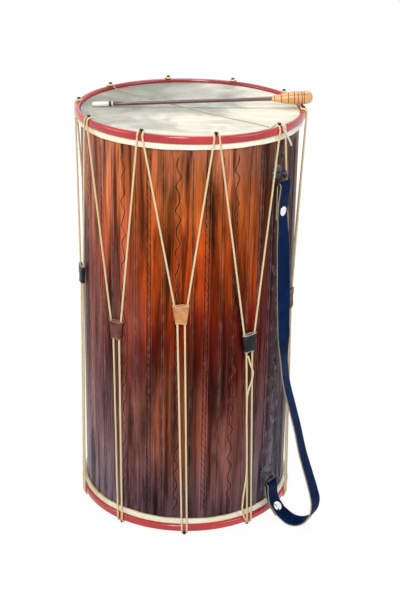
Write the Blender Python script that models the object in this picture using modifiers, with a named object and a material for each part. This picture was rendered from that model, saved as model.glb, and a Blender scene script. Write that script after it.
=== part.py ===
"""A long rope-tensioned tabor with its carrying strap and stick. Metres, +Z up.

The drum's axis is Z. The origin is the centre of the lower head's outer face.
Angles are in degrees round the axis: 0 is the front, -Y, and they grow towards +X.
"""
import bmesh
import bpy
from math import atan2, ceil, copysign, cos, pi, radians, sin, sqrt
from mathutils import Matrix, Vector

# Shell and heads
SHELL_RADIUS = 0.1873
SHELL_WALL = 0.0070
HEAD_SPAN = 0.7181
SKIN = 0.0007
CLEARANCE = 0.0003
SEGMENTS = 48

# Carved flutes
FLUTE_STEP = 15.0
FLUTE_PHASE = 1.2
FLUTE_DEPTH = 0.0013
PLAIN_BAND = 0.0300

# Hoops
HOOP_THICKNESS = 0.0084
HOOP_HEIGHT = 0.0140
HOOP_RISE = 0.0060
FLESH_THICKNESS = 0.0033
FLESH_HEIGHT = 0.0075
SKIN_TUCK = 0.0045
BAND_THICKNESS = 0.0040
BAND_HEIGHT = 0.0220

# Rope, pins and tugs
PIN_COUNT = 10
TOP_PIN_PHASE = 11.5
BOTTOM_PIN_PHASE = -1.0
PIN_RADIUS = 0.0016
PIN_SINK = 0.0090
PIN_HEAD_RADIUS = 0.0033
PIN_HEAD_HEIGHT = 0.0018
ROPE_RADIUS = 0.0016
LEG_SPREAD = 0.0045
TUG_HEIGHTS = (0.417, 0.353, 0.398, 0.385, 0.410, 0.372, 0.395, 0.420, 0.431, 0.369)
TUG_LENGTH = 0.0330
TUG_TOP_WIDTH = 0.0290
TUG_BOTTOM_WIDTH = 0.0196
TUG_LEATHER = 0.0017

# Strap and its fittings
STRAP_ANGLE = 49.5
STRAP_WIDTH = 0.0270
STRAP_THICKNESS = 0.0026
EYE_INSET = 0.0737
EYE_STANDOFF = 0.0152
EYE_HOLE_RADIUS = 0.0042
EYE_WIRE_RADIUS = 0.0015
RING_WIRE_RADIUS = 0.0017
RING_DROP = 0.0160
RING_HALF_WIDTH = 0.0165
ROSETTE_RADIUS = 0.0140
ROSETTE_THICKNESS = 0.0018
ROSETTE_LOBES = 12
NUT_RADIUS = 0.0055
NUT_HEIGHT = 0.0035
RIVET_CAP_RADIUS = 0.0082
RIVET_CAP_HEIGHT = 0.0016
RIVET_SHANK_RADIUS = 0.0020
RIVET_DROP = 0.0464

# Snare and stick
SNARE_RADIUS = 0.0007
STICK_LEFT = -0.1686
STICK_LENGTH = 0.3790
STICK_TURN = 1.4
STICK_SHAFT_RADIUS = 0.0038
STICK_TENON_RADIUS = 0.0022
TIP_RADIUS = 0.0043
TIP_LENGTH = 0.0290
COLLAR_LENGTH = 0.0042
RING_LENGTH = 0.0022
HANDLE_LENGTH = 0.0705
HANDLE_RADIUS = 0.0114

# Sizes that follow from those above
HOOP_INNER = SHELL_RADIUS + SKIN + 2 * CLEARANCE
HOOP_MIDDLE = HOOP_INNER + HOOP_THICKNESS / 2
HOOP_ROUND = HOOP_THICKNESS / 2
HOOP_OUTER = HOOP_INNER + HOOP_THICKNESS
SEAT = ROPE_RADIUS + CLEARANCE
ROPE_LINE = HOOP_OUTER + SEAT
PIN_CLEAR = 2 * SEAT
PIN_PITCH = 360.0 / PIN_COUNT
EYE_RADIUS = SHELL_RADIUS + EYE_STANDOFF
FOLD_STEPS = 6
FOLD_RADIUS = (RING_WIRE_RADIUS + CLEARANCE + STRAP_THICKNESS / 2) / cos(pi / 2 / FOLD_STEPS)
FLAT_RADIUS = SHELL_RADIUS * cos(pi / SEGMENTS)

COLOURS = {
    "walnut": ((0.20, 0.045, 0.015), 0.30, 0.0),
    "skin": ((0.62, 0.60, 0.50), 0.55, 0.0),
    "red_lacquer": ((0.62, 0.035, 0.030), 0.22, 0.0),
    "beech": ((0.55, 0.38, 0.22), 0.60, 0.0),
    "iron": ((0.035, 0.035, 0.040), 0.40, 0.9),
    "hemp": ((0.78, 0.68, 0.48), 0.80, 0.0),
    "tan_leather": ((0.55, 0.25, 0.11), 0.60, 0.0),
    "dark_leather": ((0.05, 0.035, 0.03), 0.55, 0.0),
    "navy_leather": ((0.010, 0.018, 0.045), 0.45, 0.0),
    "nickel": ((0.80, 0.80, 0.80), 0.22, 1.0),
    "ebony": ((0.10, 0.05, 0.05), 0.30, 0.0),
    "bone": ((0.90, 0.88, 0.78), 0.35, 0.0),
    "olive_wood": ((0.62, 0.33, 0.14), 0.40, 0.0),
}


def clear_scene():
    for thing in list(bpy.data.objects):
        bpy.data.objects.remove(thing, do_unlink=True)


def new_collection(name):
    group = bpy.data.collections.new(name)
    bpy.context.scene.collection.children.link(group)
    return group


clear_scene()
PARTS = new_collection("tabor")
CUTTERS = new_collection("cutters")


def material_for(node, kind):
    colour, roughness, metallic = COLOURS[kind]
    finish = bpy.data.materials.new(node)
    finish.use_nodes = True
    shader = finish.node_tree.nodes["Principled BSDF"]
    shader.inputs["Base Color"].default_value = (*colour, 1.0)
    shader.inputs["Roughness"].default_value = roughness
    shader.inputs["Metallic"].default_value = metallic
    finish.diffuse_color = (*colour, 1.0)
    return finish


def add_part(node, mesh, kind, matrix=None):
    """One named piece; a mesh that is already in use is copied, so each has its own material."""
    if mesh.users:
        mesh = mesh.copy()
    mesh.name = node
    mesh.materials.clear()
    mesh.materials.append(material_for(node, kind))
    piece = bpy.data.objects.new(node, mesh)
    PARTS.objects.link(piece)
    if matrix is not None:
        piece.matrix_world = matrix
    return piece


def shade_round(piece, angle=35.0):
    piece.data.shade_smooth()
    piece.data.set_sharp_from_angle(angle=radians(angle))


def radial(angle):
    return Vector((sin(radians(angle)), -cos(radians(angle)), 0.0))


def tangent(angle):
    return Vector((cos(radians(angle)), sin(radians(angle)), 0.0))


def polar(angle, radius, height, across=0.0):
    """A point at a radius and height, moved sideways along the circle by an arc length."""
    turned = angle + across / radius * 180.0 / pi
    return radial(turned) * radius + Vector((0.0, 0.0, height))


def end_matrix(top):
    """Pieces of an end are drawn with +Z pointing out of the drum, zero at the head's face."""
    if top:
        return Matrix.Translation((0.0, 0.0, HEAD_SPAN))
    return Matrix.Rotation(pi, 4, "X")


def out_of(top, height):
    """World height of a level given from the head's outer face, outwards."""
    return HEAD_SPAN + height if top else -height


def turned(node, profile, kind, steps=SEGMENTS, closed=True, matrix=None):
    """A turned piece: its profile, as radius and height pairs, runs down its outer side."""
    mesh = bpy.data.meshes.new(node)
    count = len(profile)
    edges = [(i, i + 1) for i in range(count - 1)]
    if closed:
        edges.append((count - 1, 0))
    mesh.from_pydata([(radius, 0.0, height) for radius, height in profile], edges, [])
    piece = add_part(node, mesh, kind, matrix)
    screw = piece.modifiers.new("turning", "SCREW")
    screw.steps = steps
    screw.render_steps = steps
    screw.use_merge_vertices = True
    screw.merge_threshold = 0.00001
    return piece


def cutter(name, builder):
    mesh = bpy.data.meshes.new(name)
    bm = bmesh.new()
    builder(bm)
    bm.to_mesh(mesh)
    bm.free()
    tool = bpy.data.objects.new(name, mesh)
    tool.hide_render = True
    tool.display_type = "WIRE"
    CUTTERS.objects.link(tool)
    return tool


def cut(piece, tool):
    boolean = piece.modifiers.new("cut", "BOOLEAN")
    boolean.operation = "DIFFERENCE"
    boolean.object = tool


def tube_mesh(points, radius, resolution=1, cyclic=False):
    """A round tube through points, with filled ends, as a welded mesh."""
    curve = bpy.data.curves.new("tube", "CURVE")
    curve.dimensions = "3D"
    curve.bevel_depth = radius
    curve.bevel_resolution = resolution
    curve.use_fill_caps = True
    spline = curve.splines.new("POLY")
    spline.points.add(len(points) - 1)
    for place, point in zip(spline.points, points):
        place.co = (*point, 1.0)
    spline.use_cyclic_u = cyclic
    return mesh_from_curve(curve)


def mesh_from_curve(curve):
    holder = bpy.data.objects.new("curve_holder", curve)
    PARTS.objects.link(holder)
    evaluated = holder.evaluated_get(bpy.context.evaluated_depsgraph_get())
    mesh = bpy.data.meshes.new_from_object(evaluated)
    bpy.data.objects.remove(holder, do_unlink=True)
    bm = bmesh.new()
    bm.from_mesh(mesh)
    bmesh.ops.remove_doubles(bm, verts=bm.verts, dist=0.000005)
    bmesh.ops.recalc_face_normals(bm, faces=bm.faces)
    bm.to_mesh(mesh)
    bm.free()
    return mesh


def plate_mesh(outlines, thickness):
    """A flat plate centred on its own plane; outlines after the first are holes."""
    curve = bpy.data.curves.new("plate", "CURVE")
    curve.dimensions = "2D"
    curve.fill_mode = "BOTH"
    curve.extrude = thickness / 2
    for outline in outlines:
        spline = curve.splines.new("POLY")
        spline.points.add(len(outline) - 1)
        for place, (across, up) in zip(spline.points, outline):
            place.co = (across, up, 0.0, 1.0)
        spline.use_cyclic_u = True
    return mesh_from_curve(curve)


def smooth_route(points, step):
    """Catmull-Rom curve through points, read about every step."""
    route = []
    ends = [points[0] * 2 - points[1]] + list(points) + [points[-1] * 2 - points[-2]]
    for i in range(1, len(ends) - 2):
        before, start, end, after = ends[i - 1], ends[i], ends[i + 1], ends[i + 2]
        pieces = max(1, ceil((end - start).length / step))
        for j in range(pieces):
            t = j / pieces
            route.append(
                (start * 2 + (end - before) * t
                 + (before * 2 - start * 5 + end * 4 - after) * t * t
                 + (start * 3 - before - end * 3 + after) * t * t * t) * 0.5
            )
    route.append(points[-1].copy())
    return route


# The shell and what is inside its ends

def box_profile(inner, outer, low, high):
    return [(outer, high), (outer, low), (inner, low), (inner, high)]


def make_shell():
    edge = SKIN + CLEARANCE
    round_off = 0.0016
    inner = SHELL_RADIUS - SHELL_WALL
    low = edge
    high = HEAD_SPAN - edge
    profile = [
        (SHELL_RADIUS - round_off, high),
        (SHELL_RADIUS, high - round_off),
        (SHELL_RADIUS, low + round_off),
        (SHELL_RADIUS - round_off, low),
        (inner, low),
        (inner, high),
    ]
    shell = turned("shell", profile, "walnut")
    length = HEAD_SPAN - 2 * PLAIN_BAND

    def flutes(bm):
        for i in range(round(360.0 / FLUTE_STEP)):
            angle = FLUTE_PHASE + i * FLUTE_STEP
            place = Matrix.Translation(polar(angle, SHELL_RADIUS, HEAD_SPAN / 2))
            turn = Matrix.Rotation(radians(angle), 4, "Z")
            bmesh.ops.create_cone(
                bm, cap_ends=True, segments=4, radius1=FLUTE_DEPTH, radius2=FLUTE_DEPTH,
                depth=length, matrix=place @ turn,
            )

    def eye_holes(bm):
        for height in eye_heights():
            bmesh.ops.create_cone(
                bm, cap_ends=True, segments=10, radius1=EYE_WIRE_RADIUS + CLEARANCE * 1.5,
                radius2=EYE_WIRE_RADIUS + CLEARANCE * 1.5, depth=SHELL_WALL * 4,
                matrix=outward_matrix(SHELL_RADIUS - SHELL_WALL / 2, height),
            )

    cut(shell, cutter("flute_cutters", flutes))
    cut(shell, cutter("eye_hole_cutters", eye_holes))
    shade_round(shell)
    for end, top in (("top", True), ("bottom", False)):
        outer = (inner - CLEARANCE)
        band = box_profile(outer - BAND_THICKNESS, outer, -edge - BAND_HEIGHT, -edge - 0.0005)
        piece = turned(f"{end}_reinforcing_ring", band, "beech", matrix=end_matrix(top))
        shade_round(piece)


def eye_heights():
    return (HEAD_SPAN - EYE_INSET, EYE_INSET)


def outward_matrix(radius, height):
    """Local +Z points straight out of the shell at the strap's angle, local +Y points up."""
    out = radial(STRAP_ANGLE)
    frame = Matrix((tangent(STRAP_ANGLE), Vector((0.0, 0.0, 1.0)), out)).transposed()
    return Matrix.Translation(out * radius + Vector((0.0, 0.0, height))) @ frame.to_4x4()


# Heads, flesh hoops and counter hoops

def flesh_top():
    return HOOP_RISE - HOOP_HEIGHT - 2 * CLEARANCE - SKIN


def make_head(end, top):
    half = SKIN / 2
    wall = SHELL_RADIUS + CLEARANCE + half
    outside = SHELL_RADIUS + 3 * CLEARANCE + SKIN + FLESH_THICKNESS + half
    over = flesh_top() + CLEARANCE + half
    under = flesh_top() - FLESH_HEIGHT - CLEARANCE - half
    profile = [
        (0.0, -half),
        (wall - 0.0012, -half),
        (wall, -half - 0.0012),
        (wall, over),
        (outside, over),
        (outside, under),
        (wall, under),
        (wall, under + SKIN_TUCK),
    ]
    head = turned(f"{end}_head", profile, "skin", closed=False, matrix=end_matrix(top))
    solid = head.modifiers.new("skin", "SOLIDIFY")
    solid.thickness = SKIN
    solid.offset = 0.0
    solid.use_even_offset = True
    shade_round(head)


def make_flesh_hoop(end, top):
    inner = SHELL_RADIUS + 2 * CLEARANCE + SKIN
    profile = box_profile(inner, inner + FLESH_THICKNESS, flesh_top() - FLESH_HEIGHT, flesh_top())
    piece = turned(f"{end}_flesh_hoop", profile, "beech", matrix=end_matrix(top))
    shade_round(piece)


def pin_angle(top, k):
    return (TOP_PIN_PHASE if top else BOTTOM_PIN_PHASE) + PIN_PITCH * k


def make_counter_hoop(end, top):
    """A hoop with both edges fully rounded and a blind hole for each pin."""
    rounding = 4
    profile = []
    for i in range(rounding + 1):
        turn = pi / 2 - pi / 2 * i / (rounding / 2)
        if turn < -0.01:
            break
        profile.append((HOOP_MIDDLE + HOOP_ROUND * cos(turn), HOOP_RISE - HOOP_ROUND * (1 - sin(turn))))
    low = HOOP_RISE - HOOP_HEIGHT + HOOP_ROUND
    for i in range(rounding + 1):
        turn = -pi * i / rounding
        profile.append((HOOP_MIDDLE + HOOP_ROUND * cos(turn), low + HOOP_ROUND * sin(turn)))
    profile.append((HOOP_INNER, HOOP_RISE - HOOP_ROUND))
    turn = 3 * pi / 4
    profile.append((HOOP_MIDDLE + HOOP_ROUND * cos(turn), HOOP_RISE - HOOP_ROUND * (1 - sin(turn))))
    hoop = turned(f"{end}_counter_hoop", profile, "red_lacquer", matrix=end_matrix(top))
    depth = PIN_SINK + CLEARANCE
    reach = 0.0040

    def holes(bm):
        for k in range(PIN_COUNT):
            middle = polar(pin_angle(top, k), HOOP_MIDDLE, out_of(top, HOOP_RISE + (reach - depth) / 2))
            bmesh.ops.create_cone(
                bm, cap_ends=True, segments=8, radius1=PIN_RADIUS + CLEARANCE,
                radius2=PIN_RADIUS + CLEARANCE, depth=depth + reach,
                matrix=Matrix.Translation(middle),
            )

    cut(hoop, cutter(f"{end}_pin_hole_cutters", holes))
    shade_round(hoop)


def make_pins():
    """A nail-like pin: its head stands one rope above the hoop's crest."""
    under_head = 2 * SEAT
    profile = [
        (0.0, under_head + PIN_HEAD_HEIGHT),
        (PIN_HEAD_RADIUS * 0.7, under_head + PIN_HEAD_HEIGHT),
        (PIN_HEAD_RADIUS, under_head + PIN_HEAD_HEIGHT * 0.5),
        (PIN_HEAD_RADIUS, under_head),
        (PIN_RADIUS, under_head),
        (PIN_RADIUS, -PIN_SINK),
        (0.0, -PIN_SINK),
    ]
    for end, top in (("top", True), ("bottom", False)):
        for k in range(PIN_COUNT):
            place = Matrix.Translation(polar(pin_angle(top, k), HOOP_MIDDLE, out_of(top, HOOP_RISE)))
            turn = Matrix.Identity(4) if top else Matrix.Rotation(pi, 4, "X")
            piece = turned(f"{end}_pin_{k + 1}", profile, "iron", steps=8, closed=False,
                           matrix=place @ turn)
            shade_round(piece)


# Tugs and the rope through them

def rope_edge(top):
    return out_of(top, HOOP_RISE - HOOP_ROUND - 0.0010)


def tug_frame(k):
    """Where tug k's line starts, its direction up the drum, and its sideways direction."""
    low = polar(pin_angle(False, k), ROPE_LINE, rope_edge(False))
    left = polar(pin_angle(True, k - 1), ROPE_LINE, rope_edge(True))
    right = polar(pin_angle(True, k), ROPE_LINE, rope_edge(True))
    high = (left + right) / 2
    up = (high - low).normalized()
    across = Vector((0.0, 0.0, 1.0)).cross(Vector((low.x, low.y, 0.0))).normalized()
    across = (across - up * across.dot(up)).normalized()
    return low, up, across


def tug_centre(k):
    low, up, across = tug_frame(k)
    return low + up * ((TUG_HEIGHTS[k] - low.z) / up.z)


def tug_half_width(height):
    """Half the outer width at a height from the tug's middle."""
    middle = (TUG_TOP_WIDTH + TUG_BOTTOM_WIDTH) / 4
    slope = (TUG_TOP_WIDTH - TUG_BOTTOM_WIDTH) / 2 / TUG_LENGTH
    return middle + slope * height


def rope_in_tug(k, side, height):
    low, up, across = tug_frame(k)
    shift = tug_half_width(height) - TUG_LEATHER - SEAT
    return tug_centre(k) + up * height + across * (side * shift)


def stadium(half_width, rounding, steps=6):
    outline = []
    for side in (1, -1):
        for i in range(steps + 1):
            turn = -pi / 2 + pi * i / steps
            outline.append((
                side * (half_width - rounding + rounding * cos(turn)),
                side * rounding * sin(turn),
            ))
    return outline


def make_tugs():
    """A leather loop round two runs of rope, wider at the top."""
    outer = stadium(tug_half_width(0.0), SEAT + TUG_LEATHER)
    inner = stadium(tug_half_width(0.0) - TUG_LEATHER, SEAT)
    mesh = plate_mesh([outer, inner], TUG_LENGTH)
    slope = (TUG_TOP_WIDTH - TUG_BOTTOM_WIDTH) / 2 / TUG_LENGTH
    for corner in mesh.vertices:
        corner.co.x += copysign(slope * corner.co.z, corner.co.x)
    for k in range(PIN_COUNT):
        low, up, across = tug_frame(k)
        frame = Matrix((across, up.cross(across), up)).transposed().to_4x4()
        kind = "tan_leather" if k in (0, 4, 7) else "dark_leather"
        piece = add_part(f"tug_{k + 1}", mesh, kind, Matrix.Translation(tug_centre(k)) @ frame)
        shade_round(piece)


def wrap(top, k):
    """The rope's bend over a hoop and round a pin, from its left side to its right."""
    angle = pin_angle(top, k)
    crest = HOOP_RISE
    bend = HOOP_ROUND + SEAT
    hang = (LEG_SPREAD, ROPE_LINE, HOOP_RISE - HOOP_ROUND - 0.0010)
    shoulder = (LEG_SPREAD, HOOP_MIDDLE + bend * sin(pi / 4), crest - HOOP_ROUND + bend * cos(pi / 4))
    side = [hang, shoulder]
    for turn in (0.0, pi / 4):
        side.append((PIN_CLEAR * cos(turn), HOOP_MIDDLE - PIN_CLEAR * sin(turn), crest + SEAT))
    route = [polar(angle, radius, out_of(top, level), -across) for across, radius, level in side]
    route.append(polar(angle, HOOP_MIDDLE - PIN_CLEAR, out_of(top, crest + SEAT)))
    back = [polar(angle, radius, out_of(top, level), across) for across, radius, level in side]
    return route + back[::-1]


# The rope's free ends at the second top pin, chosen by hand: across, radius past the hoop's middle
# and height past the hoop's crest
OUTER_TAIL = (
    (0.0210, 0.0118, -0.0340),
    (0.0165, 0.0118, -0.0265),
    (0.0115, 0.0112, -0.0190),
    (0.0075, 0.0092, -0.0120),
    (0.0050, 0.0064, -0.0060),
)
INNER_TAIL = (
    (0.0095, 0.0061, -0.0052),
    (0.0092, 0.0044, 0.0005),
    (0.0086, 0.0000, 0.0019),
    (0.0065, -0.0045, 0.0019),
    (0.0015, -0.0078, 0.0012),
    (-0.0050, -0.0094, -0.0012),
    (-0.0110, -0.0108, -0.0037),
    (-0.0190, -0.0118, -0.0041),
    (-0.0280, -0.0118, -0.0041),
    (-0.0360, -0.0102, -0.0041),
    (-0.0430, -0.0078, -0.0041),
)
TAIL_PIN = 1


def tail_points(table):
    return [
        polar(pin_angle(True, TAIL_PIN), HOOP_MIDDLE + radius, out_of(True, HOOP_RISE + level), across)
        for across, radius, level in table
    ]


def make_rope():
    """One rope: in at the tail pin, down and up through every tug in turn, and out beside it."""
    route = tail_points(OUTER_TAIL) + wrap(True, TAIL_PIN)[::-1][1:]
    for step in range(PIN_COUNT):
        k = (TAIL_PIN - step) % PIN_COUNT
        for height in (TUG_LENGTH / 2, -TUG_LENGTH / 2):
            route.append(rope_in_tug(k, 1, height))
        route += wrap(False, k)[::-1]
        for height in (-TUG_LENGTH / 2, TUG_LENGTH / 2):
            route.append(rope_in_tug(k, -1, height))
        if step < PIN_COUNT - 1:
            route += wrap(True, (k - 1) % PIN_COUNT)[::-1]
    route += tail_points(INNER_TAIL)
    piece = add_part("tension_rope", tube_mesh(route, ROPE_RADIUS), "hemp")
    shade_round(piece, 70.0)


# The spare end down the right front pair: across, standoff from the rope's own line, height
SPARE_RUN = (
    (-0.0055, 0.0037, 0.330),
    (0.0000, 0.0037, 0.312),
    (0.0050, 0.0037, 0.297),
    (0.0020, 0.0037, 0.280),
    (-0.0058, 0.0037, 0.262),
    (-0.0078, 0.0029, 0.220),
    (-0.0075, 0.0029, 0.150),
    (-0.0080, 0.0022, 0.095),
    (-0.0150, 0.0020, 0.050),
    (-0.0165, 0.0020, 0.022),
    (-0.0084, 0.0012, 0.002),
)
SPARE_TUG = 1


def make_spare_end():
    low, up, across = tug_frame(SPARE_TUG)
    out = across.cross(up)
    points = [
        low + up * ((height - low.z) / up.z) + across * side + out * stand
        for side, stand, height in SPARE_RUN
    ]
    route = smooth_route(points, 0.020)
    piece = add_part("rope_spare_end", tube_mesh(route, ROPE_RADIUS), "hemp")
    shade_round(piece, 70.0)


def make_snare():
    """A string on the upper head, lifted at one end to the pin it is tied to."""
    resting = out_of(True, CLEARANCE + SNARE_RADIUS)
    angle = pin_angle(True, TAIL_PIN)
    edge = HOOP_INNER - CLEARANCE * 2 - SNARE_RADIUS
    points = [
        polar(angle, edge, resting),
        polar(angle, 0.1450, resting),
        polar(angle - 4.0, 0.0700, resting),
        Vector((0.0, -0.0060, resting)),
        polar(angle + 182.0, 0.0800, resting),
        polar(angle + 180.0, 0.1600, resting),
        polar(angle + 180.0, 0.1790, resting + 0.0020),
        polar(angle + 180.0, HOOP_MIDDLE - PIN_CLEAR - SEAT - SNARE_RADIUS * 2, out_of(True, HOOP_RISE + 0.0012)),
    ]
    piece = add_part("snare", tube_mesh(smooth_route(points, 0.040), SNARE_RADIUS), "hemp")
    shade_round(piece, 70.0)


# Strap, rings, eyes and rivets

def ring_bar(end):
    """Height of a strap ring's bar."""
    height = eye_heights()[0 if end == "top" else 1]
    return height - ring_hang() - RING_DROP


def ring_hang():
    return EYE_HOLE_RADIUS - RING_WIRE_RADIUS - CLEARANCE


def make_eyes():
    loop = EYE_HOLE_RADIUS + EYE_WIRE_RADIUS
    for end, height in zip(("top", "bottom"), eye_heights()):
        inner_end = SHELL_RADIUS - SHELL_WALL - NUT_HEIGHT - 0.0020
        points = [(inner_end, 0.0), (EYE_RADIUS - loop - 0.0030, 0.0)]
        turns = 14
        for i in range(turns + 1):
            turn = radians(200.0 - 325.0 * i / turns)
            points.append((EYE_RADIUS + loop * cos(turn), loop * sin(turn)))
        out = radial(STRAP_ANGLE)
        route = [out * radius + Vector((0.0, 0.0, height + level)) for radius, level in points]
        piece = add_part(f"strap_eye_{end}", tube_mesh(route, EYE_WIRE_RADIUS), "iron")
        shade_round(piece, 70.0)
        hole = EYE_WIRE_RADIUS + CLEARANCE
        lobes = []
        for i in range(ROSETTE_LOBES * 4):
            turn = 2 * pi * i / (ROSETTE_LOBES * 4)
            reach = ROSETTE_RADIUS * (0.94 + 0.06 * cos(ROSETTE_LOBES * turn))
            lobes.append((reach * cos(turn), reach * sin(turn)))
        bore = [(hole * cos(pi * i / 5), hole * sin(pi * i / 5)) for i in range(10)]
        place = outward_matrix(FLAT_RADIUS + CLEARANCE + ROSETTE_THICKNESS / 2, height)
        piece = add_part(f"eye_rosette_{end}", plate_mesh([lobes, bore], ROSETTE_THICKNESS), "iron", place)
        shade_round(piece)
        six = [(NUT_RADIUS * cos(pi * i / 3), NUT_RADIUS * sin(pi * i / 3)) for i in range(6)]
        seat = SHELL_RADIUS - SHELL_WALL - CLEARANCE
        seat = sqrt(seat * seat - NUT_RADIUS * NUT_RADIUS) * cos(pi / SEGMENTS)
        place = outward_matrix(seat - NUT_HEIGHT / 2, height)
        add_part(f"strap_eye_nut_{end}", plate_mesh([six, bore], NUT_HEIGHT), "iron", place)


def make_rings():
    """A wire loop with a straight bar for the strap and a short apex in the eye."""
    corner = 0.0040
    for end, height in zip(("top", "bottom"), eye_heights()):
        high = height - ring_hang()
        low = ring_bar(end)
        half = [(0.0035, high), (0.0062, high - 0.0012)]
        for i in range(4):
            turn = radians(20.0 - 110.0 * i / 3)
            half.append((
                RING_HALF_WIDTH - corner + corner * cos(turn),
                low + corner + corner * sin(turn),
            ))
        outline = half + [(-across, level) for across, level in half[::-1]]
        out = radial(STRAP_ANGLE) * EYE_RADIUS
        side = tangent(STRAP_ANGLE)
        route = [out + side * across + Vector((0.0, 0.0, level)) for across, level in outline]
        mesh = tube_mesh(route, RING_WIRE_RADIUS, cyclic=True)
        piece = add_part(f"strap_ring_{end}", mesh, "iron")
        shade_round(piece, 70.0)


# The strap's free run, chosen by hand: standoff from the shell's surface, share of the height
# between the two rings' bars, plane angle and face angle
STRAP_RUN = (
    (0.0152, 0.883, 49.7, 48.0),
    (0.0182, 0.796, 50.0, 36.0),
    (0.0212, 0.668, 50.5, 32.0),
    (0.0237, 0.537, 51.0, 38.0),
    (0.0277, 0.428, 51.3, 60.0),
    (0.0342, 0.361, 51.5, 62.0),
    (0.0457, 0.298, 51.7, 62.0),
    (0.0597, 0.222, 52.0, 62.0),
    (0.0727, 0.145, 52.0, 60.0),
    (0.0887, 0.073, 52.0, 57.0),
    (0.0997, 0.023, 52.0, 54.0),
)
# The loop at its foot: standoff, height from the lower ring's bar, plane angle, face angle, tilt
STRAP_FOOT = (
    (0.1052, -0.0077, 52.0, 52.0, 8.0),
    (0.1027, -0.0290, 51.8, 51.0, 14.0),
    (0.0917, -0.0470, 51.5, 51.0, 16.0),
    (0.0757, -0.0580, 51.2, 51.0, 16.0),
    (0.0587, -0.0600, 50.8, 50.5, 15.0),
    (0.0455, -0.0535, 50.2, 50.0, 12.0),
)
LAYER = 0.0029


def strap_stations():
    """Centreline points with the strap's width direction at each."""
    stations = []
    top = ring_bar("top")
    low = ring_bar("bottom")

    def add(radius, height, plane, face, tilt=0.0):
        width = tangent(face) * cos(radians(tilt)) + Vector((0.0, 0.0, sin(radians(tilt))))
        stations.append((radial(plane) * radius + Vector((0.0, 0.0, height)), width))

    back = EYE_RADIUS - FOLD_RADIUS
    for drop in (RIVET_DROP + 0.0130, RIVET_DROP, RIVET_DROP - 0.0100, 0.0150):
        add(back, top - drop, STRAP_ANGLE, STRAP_ANGLE)
    for i in range(FOLD_STEPS + 1):
        turn = pi - pi * i / FOLD_STEPS
        add(EYE_RADIUS + FOLD_RADIUS * cos(turn), top + FOLD_RADIUS * sin(turn), STRAP_ANGLE, STRAP_ANGLE)
    add(back + LAYER + 0.0018, top - 0.0200, STRAP_ANGLE, STRAP_ANGLE)
    for drop in (RIVET_DROP - 0.0095, RIVET_DROP, RIVET_DROP + 0.0095):
        add(back + LAYER, top - drop, STRAP_ANGLE, STRAP_ANGLE)
    for stand, share, plane, face in STRAP_RUN:
        add(SHELL_RADIUS + stand, low + share * (top - low), plane, face)
    for stand, height, plane, face, tilt in STRAP_FOOT:
        add(SHELL_RADIUS + stand, low + height, plane, face, tilt)
    centre, along, behind = foot_rivet()
    for reach in (0.0095, 0.0, -0.0095):
        radius, height = centre[0] + along[0] * reach, centre[1] + along[1] * reach
        add(radius, height, STRAP_ANGLE, STRAP_ANGLE, 6.0)
    add(EYE_RADIUS + FOLD_RADIUS + 0.0012, low - 0.0170, STRAP_ANGLE, STRAP_ANGLE)
    for i in range(FOLD_STEPS + 1):
        turn = pi * i / FOLD_STEPS
        add(EYE_RADIUS + FOLD_RADIUS * cos(turn), low + FOLD_RADIUS * sin(turn), STRAP_ANGLE, STRAP_ANGLE)
    add(back + 0.0030, low - 0.0200, STRAP_ANGLE, STRAP_ANGLE)
    for reach in (-0.0095, 0.0, 0.0130):
        radius = centre[0] + along[0] * reach + behind[0] * LAYER
        height = centre[1] + along[1] * reach + behind[1] * LAYER
        add(radius, height, STRAP_ANGLE, STRAP_ANGLE, 6.0)
    return stations


def foot_rivet():
    """The lower rivet in the strap's plane: front layer's centre, its direction, and the back side."""
    slant = radians(45.0)
    centre = (EYE_RADIUS + 0.0165, ring_bar("bottom") - 0.0402)
    return centre, (cos(slant), -sin(slant)), (-sin(slant), -cos(slant))


def make_strap():
    stations = strap_stations()
    places = smooth_route([point for point, width in stations], 0.0220)
    widths = smooth_route([width for point, width in stations], 9.0)
    lengths = [0.0]
    for i in range(1, len(places)):
        lengths.append(lengths[-1] + (places[i] - places[i - 1]).length)
    bm = bmesh.new()
    bmesh.ops.create_grid(bm, x_segments=len(places) - 1, y_segments=1, size=1.0)
    rows = sorted(bm.verts, key=lambda corner: (round(corner.co.x, 5), corner.co.y))
    marks = station_marks([point for point, width in stations], places)
    for i, place in enumerate(places):
        ahead = places[min(i + 1, len(places) - 1)] - places[max(i - 1, 0)]
        width = width_at(widths, marks, i)
        width = (width - ahead * (width.dot(ahead) / ahead.length_squared)).normalized()
        for corner, side in zip(rows[2 * i:2 * i + 2], (-0.5, 0.5)):
            corner.co = place + width * (side * STRAP_WIDTH)
    mesh = bpy.data.meshes.new("strap")
    bm.to_mesh(mesh)
    bm.free()
    strap = add_part("strap", mesh, "navy_leather")
    solid = strap.modifiers.new("leather", "SOLIDIFY")
    solid.thickness = STRAP_THICKNESS
    solid.offset = 0.0
    solid.use_even_offset = True
    holes = cutter("rivet_hole_cutters", rivet_holes)
    cut(strap, holes)
    shade_round(strap)


def station_marks(points, places):
    """Index, as a fraction, of the station that each place along the strap lies at."""
    marks = []
    station = 0
    for place in places:
        if station + 1 < len(points) and (place - points[station + 1]).length < 0.000001:
            station += 1
        if station + 1 < len(points):
            first, second = points[station], points[station + 1]
            span = (second - first).length_squared
            share = max(0.0, min(1.0, (place - first).dot(second - first) / span))
        else:
            share = 0.0
        marks.append(station + share)
    return marks


def width_at(widths, marks, i):
    first = int(marks[i])
    second = min(first + 1, len(widths) - 1)
    share = marks[i] - first
    return widths[first].lerp(widths[second], share)


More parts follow.
